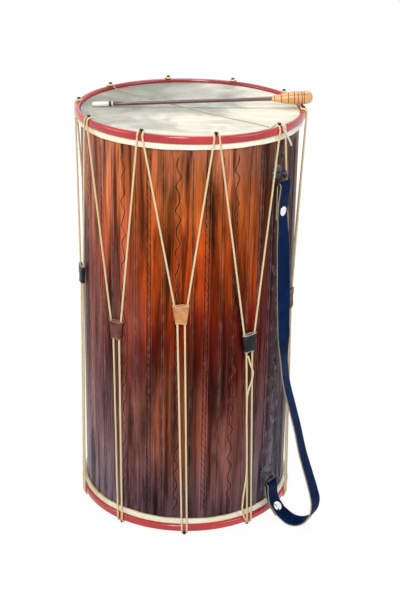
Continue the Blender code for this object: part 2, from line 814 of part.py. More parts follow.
def rivet_frames():
    """For each rivet, a matrix whose +Z leaves the strap's outer face, zero between the layers."""
    middle = EYE_RADIUS - FOLD_RADIUS + LAYER / 2
    upper = outward_matrix(middle, ring_bar("top") - RIVET_DROP)
    centre, along, behind = foot_rivet()
    out = radial(STRAP_ANGLE)
    normal = out * -behind[0] + Vector((0.0, 0.0, -behind[1]))
    run = out * along[0] + Vector((0.0, 0.0, along[1]))
    place = out * (centre[0] + behind[0] * LAYER / 2) + Vector((0.0, 0.0, centre[1] + behind[1] * LAYER / 2))
    side = run.cross(normal)
    tilt = Matrix.Rotation(radians(6.0), 4, run)
    frame = Matrix((side, normal.cross(side), normal)).transposed().to_4x4()
    lower = Matrix.Translation(place) @ tilt @ frame
    return upper, lower


def rivet_holes(bm):
    for frame in rivet_frames():
        radius = RIVET_SHANK_RADIUS + CLEARANCE
        bmesh.ops.create_cone(
            bm, cap_ends=True, segments=10, radius1=radius, radius2=radius,
            depth=LAYER * 2 + STRAP_THICKNESS * 2, matrix=frame,
        )


def make_rivets():
    """A broad cap outside, a smaller one behind, on one shank."""
    grip = LAYER / 2 + STRAP_THICKNESS / 2 + CLEARANCE * 1.5
    cap = RIVET_CAP_RADIUS
    profile = [
        (0.0, grip + RIVET_CAP_HEIGHT),
        (cap * 0.55, grip + RIVET_CAP_HEIGHT * 0.85),
        (cap * 0.90, grip + RIVET_CAP_HEIGHT * 0.45),
        (cap, grip),
        (RIVET_SHANK_RADIUS, grip),
        (RIVET_SHANK_RADIUS, -grip),
        (cap * 0.6, -grip),
        (cap * 0.55, -grip - RIVET_CAP_HEIGHT * 0.6),
        (0.0, -grip - RIVET_CAP_HEIGHT * 0.7),
    ]
    for end, frame in zip(("top", "bottom"), rivet_frames()):
        piece = turned(f"strap_rivet_{end}", profile, "nickel", steps=14, closed=False, matrix=frame)
        shade_round(piece)


# The stick, turned about its own axis and laid from the head to the hoop

def stick_matrix():
    """Local +Z runs from the tip's end to the handle's end."""
    rest_left = out_of(True, CLEARANCE + TIP_RADIUS)
    rest_right = out_of(True, HOOP_RISE + CLEARANCE + HANDLE_RADIUS)
    reach = HOOP_MIDDLE - (STICK_LEFT + TIP_LENGTH / 2)
    slope = atan2(rest_right - rest_left, reach)
    start = Vector((STICK_LEFT, 0.0040, rest_left - TIP_LENGTH / 2 * sin(slope)))
    lay = Matrix.Rotation(radians(STICK_TURN), 4, "Z") @ Matrix.Rotation(pi / 2 - slope, 4, "Y")
    return Matrix.Translation(start) @ lay


def sleeve(node, kind, start, length, radius, frame, steps=12):
    """A ring on the shaft's tenon."""
    bore = STICK_TENON_RADIUS + CLEARANCE
    soft = min(length, radius) * 0.15
    profile = [
        (radius - soft, start + length),
        (radius, start + length - soft),
        (radius, start + soft),
        (radius - soft, start),
        (bore, start),
        (bore, start + length),
    ]
    piece = turned(node, profile, kind, steps=steps, matrix=frame)
    shade_round(piece)


def make_stick():
    frame = stick_matrix()
    socket = 0.0120
    gap = CLEARANCE
    collar = TIP_LENGTH + gap
    ring = collar + COLLAR_LENGTH + gap
    shaft = ring + RING_LENGTH + gap
    handle = STICK_LENGTH - HANDLE_LENGTH
    bore = STICK_TENON_RADIUS + CLEARANCE
    tip = [
        (bore, TIP_LENGTH),
        (TIP_RADIUS * 0.93, TIP_LENGTH),
        (TIP_RADIUS, TIP_LENGTH * 0.85),
        (TIP_RADIUS, TIP_LENGTH * 0.25),
        (TIP_RADIUS * 0.80, TIP_LENGTH * 0.08),
        (TIP_RADIUS * 0.45, 0.0),
        (0.0, 0.0),
    ]
    tip = [(0.0, TIP_LENGTH - socket - gap), (bore, TIP_LENGTH - socket - gap)] + tip
    piece = turned("stick_tip", tip, "bone", steps=12, closed=False, matrix=frame)
    shade_round(piece)
    sleeve("stick_collar", "ebony", collar, COLLAR_LENGTH, TIP_RADIUS * 0.98, frame)
    sleeve("stick_ring", "bone", ring, RING_LENGTH, STICK_SHAFT_RADIUS * 1.04, frame)
    tenon_end = handle + socket
    rod = [
        (0.0, tenon_end),
        (STICK_TENON_RADIUS, tenon_end),
        (STICK_TENON_RADIUS, handle - gap),
        (STICK_SHAFT_RADIUS, handle - gap),
        (STICK_SHAFT_RADIUS, shaft),
        (STICK_TENON_RADIUS, shaft),
        (STICK_TENON_RADIUS, TIP_LENGTH - socket),
        (0.0, TIP_LENGTH - socket),
    ]
    piece = turned("stick_shaft", rod, "ebony", steps=12, closed=False, matrix=frame)
    shade_round(piece)
    full = HANDLE_RADIUS
    shape = (
        (0.00, 0.36), (0.05, 0.44), (0.07, 0.37), (0.09, 0.48), (0.20, 0.60), (0.23, 0.66),
        (0.24, 0.72), (0.38, 0.88), (0.40, 0.86), (0.42, 0.91), (0.52, 0.98), (0.545, 0.90),
        (0.57, 1.00), (0.62, 1.00), (0.64, 0.91), (0.66, 1.00), (0.71, 1.00), (0.73, 0.92),
        (0.75, 1.00), (0.78, 0.94), (0.80, 0.99), (0.90, 0.92), (0.965, 0.68), (1.00, 0.26),
    )
    body = [(full * width, handle + share * HANDLE_LENGTH) for share, width in shape[::-1]]
    body = [(0.0, handle + HANDLE_LENGTH)] + body
    body += [(bore, handle), (bore, tenon_end + gap), (0.0, tenon_end + gap)]
    piece = turned("stick_handle", body, "olive_wood", steps=16, closed=False, matrix=frame)
    shade_round(piece)


make_shell()
for END, IS_TOP in (("top", True), ("bottom", False)):
    make_head(END, IS_TOP)
    make_flesh_hoop(END, IS_TOP)
    make_counter_hoop(END, IS_TOP)
make_pins()
make_tugs()
make_rope()
make_spare_end()
make_snare()
make_eyes()
make_rings()
make_strap()
make_rivets()
make_stick()
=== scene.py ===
"""The looks of the long rope-tensioned tabor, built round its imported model. Metres, +Z up."""
from math import acos, atan2, ceil, cos, pi, radians, sin, sqrt

import bmesh
import bpy
import numpy as np
from mathutils import Matrix, Vector


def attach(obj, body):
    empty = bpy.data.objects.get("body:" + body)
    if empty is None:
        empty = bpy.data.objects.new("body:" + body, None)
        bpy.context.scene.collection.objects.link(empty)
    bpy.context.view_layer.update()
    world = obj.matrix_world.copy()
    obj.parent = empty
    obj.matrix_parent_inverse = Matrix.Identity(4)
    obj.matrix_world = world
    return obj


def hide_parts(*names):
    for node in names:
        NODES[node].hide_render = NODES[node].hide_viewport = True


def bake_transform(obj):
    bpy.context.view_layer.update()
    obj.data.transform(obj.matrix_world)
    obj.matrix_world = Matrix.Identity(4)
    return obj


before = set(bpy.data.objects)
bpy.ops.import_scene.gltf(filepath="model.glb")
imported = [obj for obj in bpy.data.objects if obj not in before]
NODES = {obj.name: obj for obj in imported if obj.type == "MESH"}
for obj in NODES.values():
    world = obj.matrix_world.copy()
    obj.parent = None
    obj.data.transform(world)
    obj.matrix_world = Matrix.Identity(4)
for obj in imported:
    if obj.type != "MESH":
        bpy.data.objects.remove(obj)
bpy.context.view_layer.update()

RNG = np.random.default_rng(7)

# Sizes taken over from the construction
SHELL = 0.1873
WALL = 0.0070
SPAN = 0.7181
SKIN = 0.0007
GAP = 0.0003
HOOP_IN = SHELL + SKIN + 2 * GAP
HOOP_T = 0.0084
HOOP_MID = HOOP_IN + HOOP_T / 2
HOOP_R = HOOP_T / 2
HOOP_OUT = HOOP_IN + HOOP_T
RISE = 0.0060
HOOP_H = 0.0140
ROPE = 0.0016
SEAT = ROPE + GAP
ROPE_LINE = HOOP_OUT + SEAT
PIN_CLEAR = 2 * SEAT
SPREAD = 0.0045
PINS = 10
PITCH = 360.0 / PINS
TUG_Z = (0.417, 0.353, 0.398, 0.385, 0.410, 0.372, 0.395, 0.420, 0.431, 0.369)
TUG_LEN = 0.0330
TUG_TOP = 0.0290
TUG_BOTTOM = 0.0196
LEATHER = 0.0017
STRAP_A = 49.5
EYE_R = SHELL + 0.0152
EYE_Z = {"top": SPAN - 0.0737, "bottom": 0.0737}
RING_WIRE = 0.0017
EYE_WIRE = 0.0015
EYE_HOLE = 0.0042
HANG = EYE_HOLE - RING_WIRE - GAP
DROP = 0.0160
STRAP_W = 0.0270
STRAP_T = 0.0026
LAYER = 0.0029
RIVET_DROP = 0.0464
FLOOR = -0.0116


def polar(angle, radius, height, across=0.0):
    turned = radians(angle) + across / radius
    return Vector((sin(turned) * radius, -cos(turned) * radius, height))


def radial(angle):
    return Vector((sin(radians(angle)), -cos(radians(angle)), 0.0))


def tangent(angle):
    return Vector((cos(radians(angle)), sin(radians(angle)), 0.0))


def out_of(top, height):
    return SPAN + height if top else -height


def pin_angle(top, k):
    return (11.5 if top else -1.0) + PITCH * k


# Meshes

def grid(name, points, wrap_rows=False, wrap_columns=False, uv=None, smooth=True):
    """A sheet of quads through an array of points, rows by columns."""
    points = np.asarray(points, dtype=np.float32)
    rows, columns = points.shape[:2]
    index = np.arange(rows * columns).reshape(rows, columns)
    down = np.roll(index, -1, axis=0) if wrap_rows else index[1:]
    here = index if wrap_rows else index[:-1]
    if wrap_columns:
        quads = np.stack([here, down, np.roll(down, -1, axis=1), np.roll(here, -1, axis=1)], axis=-1)
    else:
        quads = np.stack([here[:, :-1], down[:, :-1], down[:, 1:], here[:, 1:]], axis=-1)
    quads = quads.reshape(-1, 4)
    mesh = bpy.data.meshes.new(name)
    mesh.vertices.add(rows * columns)
    mesh.vertices.foreach_set("co", points.reshape(-1))
    mesh.loops.add(len(quads) * 4)
    mesh.loops.foreach_set("vertex_index", quads.reshape(-1).astype(np.int32))
    mesh.polygons.add(len(quads))
    mesh.polygons.foreach_set("loop_start", np.arange(0, len(quads) * 4, 4, dtype=np.int32))
    mesh.polygons.foreach_set("use_smooth", np.full(len(quads), smooth))
    if uv is not None:
        layer = mesh.uv_layers.new(name="along")
        corners = np.stack([uv[:-1, :-1], uv[1:, :-1], uv[1:, 1:], uv[:-1, 1:]], axis=2)
        layer.data.foreach_set("uv", corners.reshape(-1).astype(np.float32))
    mesh.update(calc_edges=True)
    return mesh


def tidy(mesh, distance=0.00001):
    bm = bmesh.new()
    bm.from_mesh(mesh)
    bmesh.ops.remove_doubles(bm, verts=bm.verts, dist=distance)
    bmesh.ops.recalc_face_normals(bm, faces=bm.faces)
    bm.to_mesh(mesh)
    bm.free()
    return mesh


def join(name, meshes):
    """Several meshes as one, with their UV maps kept."""
    bm = bmesh.new()
    for mesh in meshes:
        bm.from_mesh(mesh)
    joined = bpy.data.meshes.new(name)
    bm.to_mesh(joined)
    bm.free()
    return joined


def piece(name, mesh, finish, body, stands_for=(), sharp=None):
    thing = bpy.data.objects.new(name, mesh)
    bpy.context.scene.collection.objects.link(thing)
    mesh.materials.clear()
    mesh.materials.append(finish)
    if sharp is not None:
        mesh.set_sharp_from_angle(angle=radians(sharp))
    if body:
        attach(thing, body)
    if stands_for:
        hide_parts(*stands_for)
    return thing


def lathe(name, profile, steps=192, closed=True, matrix=None, wave=None):
    """A turned form: profile is radius and height pairs."""
    profile = np.asarray(profile, dtype=np.float64)
    turn = np.linspace(0.0, 2 * pi, steps, endpoint=False)
    radius = profile[:, :1] * np.ones((1, steps))
    height = profile[:, 1:] * np.ones((1, steps))
    if wave is not None:
        radius, height = wave(radius, height, turn[None, :])
    points = np.stack([radius * np.cos(turn), radius * np.sin(turn), height], axis=-1)
    mesh = tidy(grid(name, points, wrap_rows=closed, wrap_columns=True))
    if matrix is not None:
        mesh.transform(matrix)
    return mesh


def arc(cx, cy, radius, start, end, steps):
    """Points on a circle's arc, in degrees."""
    return [
        (cx + radius * cos(radians(start + (end - start) * i / steps)),
         cy + radius * sin(radians(start + (end - start) * i / steps)))
        for i in range(steps + 1)
    ]


def catmull(points, step):
    points = [Vector(p) for p in points]
    route = []
    ends = [points[0] * 2 - points[1]] + points + [points[-1] * 2 - points[-2]]
    for i in range(1, len(ends) - 2):
        a, b, c, d = ends[i - 1], ends[i], ends[i + 1], ends[i + 2]
        gaps = [max((q - p).length, 1e-6) ** 0.5 for p, q in ((a, b), (b, c), (c, d))]
        out = ((b - a) / gaps[0] - (c - a) / (gaps[0] + gaps[1]) + (c - b) / gaps[1]) * gaps[1]
        into = ((c - b) / gaps[1] - (d - b) / (gaps[1] + gaps[2]) + (d - c) / gaps[2]) * gaps[1]
        pieces = max(1, ceil((c - b).length / step))
        for j in range(pieces):
            t = j / pieces
            h00 = 2 * t ** 3 - 3 * t ** 2 + 1
            h10 = t ** 3 - 2 * t ** 2 + t
            h01 = -2 * t ** 3 + 3 * t ** 2
            h11 = t ** 3 - t ** 2
            route.append(b * h00 + out * h10 + c * h01 + into * h11)
    route.append(points[-1].copy())
    return route


def frames_along(route):
    """Tangents and normals without twist along a list of points."""
    count = len(route)
    ahead = [(route[min(i + 1, count - 1)] - route[max(i - 1, 0)]).normalized() for i in range(count)]
    first = Vector((0.0, 0.0, 1.0)) if abs(ahead[0].z) < 0.9 else Vector((1.0, 0.0, 0.0))
    normal = (first - ahead[0] * first.dot(ahead[0])).normalized()
    normals = [normal]
    for i in range(1, count):
        turn = ahead[i - 1].rotation_difference(ahead[i])
        normal = turn @ normal
        normal = (normal - ahead[i] * normal.dot(ahead[i])).normalized()
        normals.append(normal)
    return ahead, normals


def tube(name, route, radius, sides=12, start=0.0, ends=True, cyclic=False):
    """A round tube with UV: metres along it, and one turn round it."""
    route = [Vector(p) for p in route]
    if cyclic:
        route = route + [route[0].copy()]
    ahead, normals = frames_along(route)
    lengths = [start]
    for i in range(1, len(route)):
        lengths.append(lengths[-1] + (route[i] - route[i - 1]).length)
    rings = [(route[i], ahead[i], normals[i], radius, lengths[i]) for i in range(len(route))]
    if ends and not cyclic:
        head = [(route[0] - ahead[0] * radius * 0.25, ahead[0], normals[0], s, lengths[0])
                for s in (0.0, radius * 0.75)]
        tail = [(route[-1] + ahead[-1] * radius * 0.25, ahead[-1], normals[-1], s, lengths[-1])
                for s in (radius * 0.75, 0.0)]
        rings = head + rings + tail
    points = np.zeros((len(rings), sides, 3))
    uv = np.zeros((len(rings), sides + 1, 2))
    for i, (place, way, normal, size, length) in enumerate(rings):
        side = way.cross(normal)
        for j in range(sides):
            turn = 2 * pi * j / sides
            points[i, j] = place + (normal * cos(turn) + side * sin(turn)) * size
        uv[i, :, 0] = length
        uv[i, :, 1] = np.arange(sides + 1) / sides
    mesh = grid(name, points, wrap_columns=True, uv=uv)
    if (ends and not cyclic) or cyclic:
        return tidy(mesh)
    return mesh


# Materials

class Graph:
    """A Principled material's nodes."""

    def __init__(self, name):
        self.material = bpy.data.materials.new(name)
        self.material.use_nodes = True
        self.tree = self.material.node_tree
        self.shader = self.tree.nodes["Principled BSDF"]

    def add(self, kind, inputs=None, **settings):
        node = self.tree.nodes.new(kind)
        for key, value in settings.items():
            setattr(node, key, value)
        for key, value in (inputs or {}).items():
            self.plug(node.inputs[key], value)
        return node

    def plug(self, socket, value):
        if isinstance(value, bpy.types.NodeSocket):
            self.tree.links.new(value, socket)
        elif socket.type == "RGBA" and len(value) == 3:
            socket.default_value = (*value, 1.0)
        else:
            socket.default_value = value

    def set(self, **values):
        for key, value in values.items():
            self.plug(self.shader.inputs[key.replace("_", " ")], value)
        return self

    def place(self, scale=(1.0, 1.0, 1.0)):
        coords = self.add("ShaderNodeTexCoord")
        return self.add("ShaderNodeMapping", {"Vector": coords.outputs["Object"], "Scale": scale}).outputs[0]

    def noise(self, scale, stretch=(1.0, 1.0, 1.0), detail=4.0, rough=0.55, distort=0.0):
        return self.add("ShaderNodeTexNoise", {
            "Vector": self.place(stretch), "Scale": scale, "Detail": detail,
            "Roughness": rough, "Distortion": distort,
        }).outputs[0]

    def ramp(self, value, *stops):
        node = self.add("ShaderNodeValToRGB", {"Fac": value})
        line = node.color_ramp.elements
        while len(line) < len(stops):
            line.new(0.5)
        for element, (where, colour) in zip(line, stops):
            element.position = where
            element.color = (*colour, 1.0) if not isinstance(colour, float) else (colour, colour, colour, 1.0)
        return node.outputs[0]

    def mix(self, factor, first, second, mode="MIX"):
        node = self.add("ShaderNodeMix", data_type="RGBA", blend_type=mode)
        self.plug(node.inputs[0], factor)
        self.plug(node.inputs[6], first)
        self.plug(node.inputs[7], second)
        return node.outputs[2]

    def math(self, operation, first, second=0.0, clamp=False):
        node = self.add("ShaderNodeMath", operation=operation, use_clamp=clamp)
        self.plug(node.inputs[0], first)
        self.plug(node.inputs[1], second)
        return node.outputs[0]

    def bump(self, height, strength=0.3, distance=0.0005, below=None):
        node = self.add("ShaderNodeBump", {"Height": height, "Strength": strength, "Distance": distance})
        if below is not None:
            self.plug(node.inputs["Normal"], below)
        return node.outputs[0]

    def split(self, vector):
        return self.add("ShaderNodeSeparateXYZ", {"Vector": vector}).outputs


def walnut():
    g = Graph("carved_walnut")
    figure = g.noise(1.0, (26.0, 26.0, 2.2), 6.0, 0.62, 0.8)
    streaks = g.noise(1.0, (75.0, 75.0, 3.4), 5.0, 0.65, 0.4)
    fine = g.noise(1.0, (420.0, 420.0, 14.0), 4.0, 0.6)
    cloud = g.noise(6.0, (1.0, 1.0, 0.8), 4.0, 0.55)
    x, y, z = g.split(g.place())
    level = g.math("ADD", z, g.math("MULTIPLY", g.math("SUBTRACT", cloud, 0.5), 0.34))
    level = g.math("SUBTRACT", level, g.math("MULTIPLY", g.math("SUBTRACT", streaks, 0.5), 0.20))
    # Colour by height: partly the wood's own tone, partly painted light, bright orange high up and darker low, with a
    # painted purplish reflection at the very bottom.
    wood = g.ramp(level, (0.03, (0.120, 0.060, 0.070)), (0.09, (0.190, 0.078, 0.070)),
                  (0.20, (0.210, 0.066, 0.046)), (0.31, (0.120, 0.010, 0.004)), (0.41, (0.240, 0.018, 0.002)),
                  (0.50, (0.440, 0.062, 0.006)), (0.62, (0.520, 0.120, 0.024)), (0.72, (0.460, 0.150, 0.075)))
    # Painted light: a warm, brighter pool low on the front, left of the middle
    wide = g.math("POWER", g.math("DIVIDE", g.math("ADD", x, 0.030), 0.080), 2.0)
    tall = g.math("POWER", g.math("DIVIDE", g.math("SUBTRACT", z, 0.210), 0.170), 2.0)
    lit_patch = g.math("SUBTRACT", g.math("ADD", cloud, 0.35), g.math("SQRT", g.math("ADD", wide, tall)))
    wood = g.mix(g.ramp(lit_patch, (0.05, 0.0), (0.55, 0.70)), wood, (0.330, 0.085, 0.026))
    shade = g.ramp(figure, (0.34, 0.20), (0.45, 0.66), (0.54, 1.12), (0.68, 2.10))
    wood = g.mix(1.0, wood, shade, "MULTIPLY")
    wander = g.math("MULTIPLY", g.math("SUBTRACT", cloud, 0.5), 0.12)
    # Painted reflection: the left side takes a pale purplish sheen, streaked with the grain.
    left = g.ramp(g.math("MULTIPLY", g.math("ADD", g.math("MULTIPLY", x, -1.0), wander), 5.0),
                  (0.36, 0.0), (0.84, 0.80))
    right = g.ramp(g.math("MULTIPLY", g.math("ADD", x, wander), 5.0), (0.50, 0.0), (0.76, 0.94))
    grain = g.ramp(streaks, (0.38, 0.35), (0.50, 0.9), (0.62, 2.0))
    pale = g.ramp(level, (0.05, (0.215, 0.150, 0.180)), (0.30, (0.210, 0.084, 0.074)), (0.70, (0.400, 0.140, 0.085)))
    wood = g.mix(left, wood, g.mix(0.75, wood, g.mix(1.0, pale, grain, "MULTIPLY")))
    # Painted shade: the right side goes near-black, with a painted bluish reflection low down.
    right_shade_and_sheen = g.ramp(level, (0.04, (0.160, 0.130, 0.170)), (0.20, (0.070, 0.048, 0.068)),
                   (0.50, (0.024, 0.012, 0.018)), (0.74, (0.100, 0.034, 0.020)))
    right_shade_and_sheen = g.mix(1.0, right_shade_and_sheen, grain, "MULTIPLY")
    wood = g.mix(right, wood, g.mix(0.92, wood, right_shade_and_sheen))
    dark = g.ramp(streaks, (0.38, (0.12, 0.08, 0.10)), (0.51, (1.0, 1.0, 1.0)))
    wood = g.mix(0.85, wood, g.mix(1.0, wood, dark, "MULTIPLY"))
    pores = g.ramp(fine, (0.34, 0.45), (0.52, 1.0))
    wood = g.mix(0.6, wood, g.mix(1.0, wood, pores, "MULTIPLY"))
    # Painted shade in the carved grooves: the deeper the cut, the darker.
    carve = g.add("ShaderNodeAttribute", attribute_name="carve").outputs["Fac"]
    groove_shade = g.mix(1.0, wood, (0.07, 0.055, 0.09), "MULTIPLY")
    wood = g.mix(g.math("MULTIPLY", carve, 0.96), wood, groove_shade)
    # Painted highlight: pale glints along the rims of the cuts, broken up by noise, stronger in the leaf panels and
    # paler and bluer on the sides.
    ridge_highlight = g.add("ShaderNodeAttribute", attribute_name="ridge_highlight").outputs["Fac"]
    edge = g.ramp(level, (0.16, (0.36, 0.24, 0.26)), (0.50, (0.82, 0.34, 0.14)))
    edge = g.mix(g.math("MAXIMUM", left, right), edge, (0.46, 0.42, 0.52))
    glint = g.ramp(g.noise(1.0, (110.0, 110.0, 40.0), 3.0, 0.6), (0.46, 0.12), (0.60, 0.36))
    wood = g.mix(g.math("MULTIPLY", ridge_highlight, glint), wood, edge)
    rough = g.ramp(figure, (0.3, 0.34), (0.7, 0.24))
    g.set(Base_Color=wood, Roughness=rough, Normal=g.bump(fine, 0.20, 0.0004),
          Specular_IOR_Level=0.045)
    return g.material


def red_lacquer():
    g = Graph("red_gloss_lacquer")
    patch = g.noise(14.0, detail=3.0)
    colour = g.ramp(patch, (0.30, (0.38, 0.009, 0.012)), (0.70, (0.56, 0.020, 0.022)))
    x, y, z = g.split(g.place())
    # Painted shade: the back half of the hoop is darkened and turned bluer.
    colour = g.mix(g.ramp(g.math("MULTIPLY", y, 5.0), (0.30, 0.0), (0.80, 0.8)), colour,
                   g.mix(1.0, colour, (0.52, 0.70, 0.95), "MULTIPLY"))
    chips = g.ramp(g.noise(160.0, detail=5.0, rough=0.7), (0.24, 1.0), (0.29, 0.0))
    colour = g.mix(g.math("MULTIPLY", chips, 0.6), colour, (0.20, 0.02, 0.015))
    rough = g.ramp(g.noise(40.0), (0.3, 0.16), (0.7, 0.30))
    g.set(Base_Color=colour, Roughness=rough, Normal=g.bump(g.noise(55.0, detail=2.0), 0.12, 0.0006),
          Coat_Weight=0.45, Coat_Roughness=0.07)
    return g.material


def calfskin(name, pale, grey, dark, mottle=1.0):
    g = Graph(name)
    broad = g.noise(9.0, (1.0, 1.0, 1.0), 5.0, 0.6, 0.4)
    streak = g.noise(30.0, (0.35, 1.6, 1.0), 5.0, 0.65, 0.8)
    fine = g.noise(420.0, detail=3.0)
    x, y, z = g.split(g.place())
    side = g.math("ADD", broad, g.math("MULTIPLY", x, 1.3 * mottle))
    side = g.math("SUBTRACT", side, g.math("MULTIPLY", y, 0.70 * mottle))
    colour = g.ramp(side, (0.28, dark), (0.46, grey), (0.60, pale))
    veil = g.ramp(streak, (0.38, 0.80), (0.60, 1.06))
    colour = g.mix(0.75 * mottle, colour, g.mix(1.0, colour, veil, "MULTIPLY"))
    specks = g.ramp(g.noise(95.0, detail=6.0, rough=0.75), (0.26, 1.0), (0.32, 0.0))
    colour = g.mix(g.math("MULTIPLY", specks, 0.45 * mottle), colour, (0.30, 0.27, 0.21))
    g.set(Base_Color=colour, Roughness=g.ramp(streak, (0.3, 0.50), (0.7, 0.68)),
          Normal=g.bump(fine, 0.25, 0.0003, g.bump(streak, 0.2, 0.0012)), Subsurface_Weight=0.06)
    return g.material


def hemp(name, light, dark, pitch=0.0042, strands=3.0):
    """Laid cord: strands wind round it, one lay each pitch."""
    g = Graph(name)
    uv = g.add("ShaderNodeUVMap", uv_map="along").outputs[0]
    u, v, w = g.split(uv)
    turn = g.math("ADD", g.math("DIVIDE", u, pitch), v)
    phase = g.math("MULTIPLY", turn, strands)
    strand = g.math("ABSOLUTE", g.math("SINE", g.math("MULTIPLY", phase, pi)))
    fibre = g.noise(900.0, detail=4.0, rough=0.7)
    tone = g.noise(22.0, detail=3.0)
    # Painted shade: the lines between the strands take the dark colour.
    colour = g.ramp(strand, (0.03, dark), (0.38, light))
    colour = g.mix(0.25, colour, g.mix(1.0, colour, g.ramp(tone, (0.3, (0.72, 0.68, 0.58)), (0.7, (1.0, 1.0, 1.0))), "MULTIPLY"))
    colour = g.mix(0.30, colour, g.mix(1.0, colour, g.ramp(fibre, (0.3, 0.55), (0.6, 1.1)), "MULTIPLY"))
    g.set(Base_Color=colour, Roughness=g.ramp(fibre, (0.3, 0.70), (0.7, 0.90)), Sheen_Weight=0.08, Specular_IOR_Level=0.2,
          Normal=g.bump(strand, 0.9, 0.0006, g.bump(fibre, 0.4, 0.0002)))
    return g.material


def leather(name, light, dark, edge, roughness=0.55, scale=1.0, coat=0.0, shine=0.4):
    g = Graph(name)
    grain = g.add("ShaderNodeTexVoronoi", {"Vector": g.place(), "Scale": 900.0 * scale},
                  feature="DISTANCE_TO_EDGE").outputs[0]
    pebble = g.ramp(grain, (0.0, 0.0), (0.22, 1.0))
    patch = g.noise(70.0 * scale, detail=5.0, rough=0.65)
    colour = g.ramp(patch, (0.32, dark), (0.68, light))
    colour = g.mix(0.25, colour, g.mix(1.0, colour, pebble, "MULTIPLY"))
    raw = g.add("ShaderNodeAttribute", attribute_name="raw").outputs["Fac"]
    fuzz = g.ramp(g.noise(600.0 * scale, detail=4.0), (0.35, 0.65), (0.65, 1.05))
    colour = g.mix(raw, colour, g.mix(1.0, edge, fuzz, "MULTIPLY"))
    g.set(Base_Color=colour, Roughness=g.ramp(patch, (0.3, roughness + 0.10), (0.7, roughness - 0.08)),
          Normal=g.bump(pebble, 0.22, 0.0002, g.bump(patch, 0.25, 0.0008)), Coat_Weight=coat,
          Coat_Roughness=0.25, Specular_IOR_Level=shine)
    return g.material


def metal(name, colour, roughness, metallic=1.0, spots=(0.6, 0.5, 0.5)):
    g = Graph(name)
    pits = g.noise(260.0, detail=5.0, rough=0.7)
    broad = g.noise(60.0, detail=3.0)
    tint = g.mix(g.ramp(pits, (0.32, 1.0), (0.46, 0.0)), colour, tuple(c * s for c, s in zip(colour, spots)))
    g.set(Base_Color=tint, Roughness=g.ramp(broad, (0.3, roughness * 0.8), (0.7, roughness * 1.35)),
          Metallic=metallic, Normal=g.bump(pits, 0.18, 0.0003), Specular_IOR_Level=0.2 if metallic < 1.0 else 0.5)
    return g.material


def turned_wood(name, light, dark, roughness, rings=0.0, stretch=(6.0, 110.0, 110.0), coat=0.25):
    """Wood with its grain along X; rings darkens the turned grooves named by an attribute."""
    g = Graph(name)
    grain = g.noise(1.0, stretch, 5.0, 0.6, 0.5)
    fine = g.noise(1.0, (40.0, 900.0, 900.0), 3.0)
    colour = g.ramp(grain, (0.32, dark), (0.66, light))
    colour = g.mix(0.4, colour, g.mix(1.0, colour, g.ramp(fine, (0.35, 0.6), (0.6, 1.05)), "MULTIPLY"))
    if rings:
        groove = g.add("ShaderNodeAttribute", attribute_name="carve").outputs["Fac"]
        colour = g.mix(g.math("MULTIPLY", groove, rings), colour, (0.16, 0.06, 0.02))
    g.set(Base_Color=colour, Roughness=g.ramp(grain, (0.3, roughness + 0.08), (0.7, roughness - 0.06)),
          Normal=g.bump(fine, 0.15, 0.0003), Coat_Weight=coat, Coat_Roughness=0.2)
    return g.material


def bone():
    g = Graph("turned_bone")
    grain = g.noise(1.0, (24.0, 500.0, 500.0), 4.0, 0.6)
    colour = g.ramp(grain, (0.30, (0.72, 0.68, 0.55)), (0.62, (0.90, 0.89, 0.80)))
    g.set(Base_Color=colour, Roughness=g.ramp(grain, (0.3, 0.38), (0.7, 0.28)),
          Normal=g.bump(grain, 0.1, 0.0002), Subsurface_Weight=0.08)
    return g.material


WALNUT = walnut()
RED = red_lacquer()
HEAD = calfskin("calfskin_head", (0.82, 0.78, 0.64), (0.50, 0.49, 0.42), (0.27, 0.28, 0.23), 1.0)
LAP = calfskin("calfskin_lap", (0.98, 0.93, 0.76), (0.94, 0.87, 0.64), (0.78, 0.62, 0.36), 0.3)
HEMP = hemp("hemp_rope", (1.0, 0.84, 0.50), (0.72, 0.50, 0.24))
WHITE_HEMP = hemp("bleached_rope_end", (0.95, 0.93, 0.86), (0.60, 0.56, 0.48))
SNARE = hemp("snare_string", (0.74, 0.68, 0.50), (0.46, 0.40, 0.28), 0.0022, 2.0)
IRON = metal("blackened_iron", (0.022, 0.022, 0.027), 0.42, 0.40)
SILVERED = metal("worn_silvered_iron", (0.13, 0.13, 0.16), 0.38, 1.0, (0.20, 0.18, 0.20))
NICKEL = metal("bright_nickel", (0.86, 0.86, 0.86), 0.16, 1.0, (0.9, 0.9, 0.88))
NAVY = leather("navy_strap_leather", (0.002, 0.020, 0.088), (0.001, 0.009, 0.038), (0.40, 0.33, 0.23),
               0.46, 0.6, 0.0, 0.035)
EBONY = turned_wood("polished_dark_wood", (0.165, 0.062, 0.060), (0.055, 0.018, 0.020), 0.28, coat=1.0)
COLLAR = turned_wood("black_collar_wood", (0.030, 0.024, 0.026), (0.012, 0.010, 0.011), 0.30)
OLIVE = turned_wood("light_handle_wood", (0.86, 0.52, 0.23), (0.60, 0.28, 0.10), 0.36, 0.85)
BEECH = turned_wood("bare_beech", (0.62, 0.42, 0.24), (0.42, 0.26, 0.13), 0.6, stretch=(30.0, 30.0, 90.0))
BONE = bone()
TUG_LOOKS = {
    "tan": leather("tan_tug_leather", (0.80, 0.38, 0.16), (0.46, 0.17, 0.06), (0.86, 0.52, 0.28), 0.6),
    "brown": leather("brown_tug_leather", (0.20, 0.070, 0.055), (0.070, 0.022, 0.020), (0.55, 0.26, 0.16), 0.5,
                     shine=0.12),
    "black": leather("black_tug_leather", (0.030, 0.030, 0.033), (0.004, 0.004, 0.005), (0.62, 0.58, 0.50), 0.4,
                     shine=0.12),
}


# The carved shell

def groove(distance, width, depth):
    """A V cut of the given width, in metres."""
    return np.clip(1.0 - np.abs(distance) / (width / 2), 0.0, 1.0) * depth


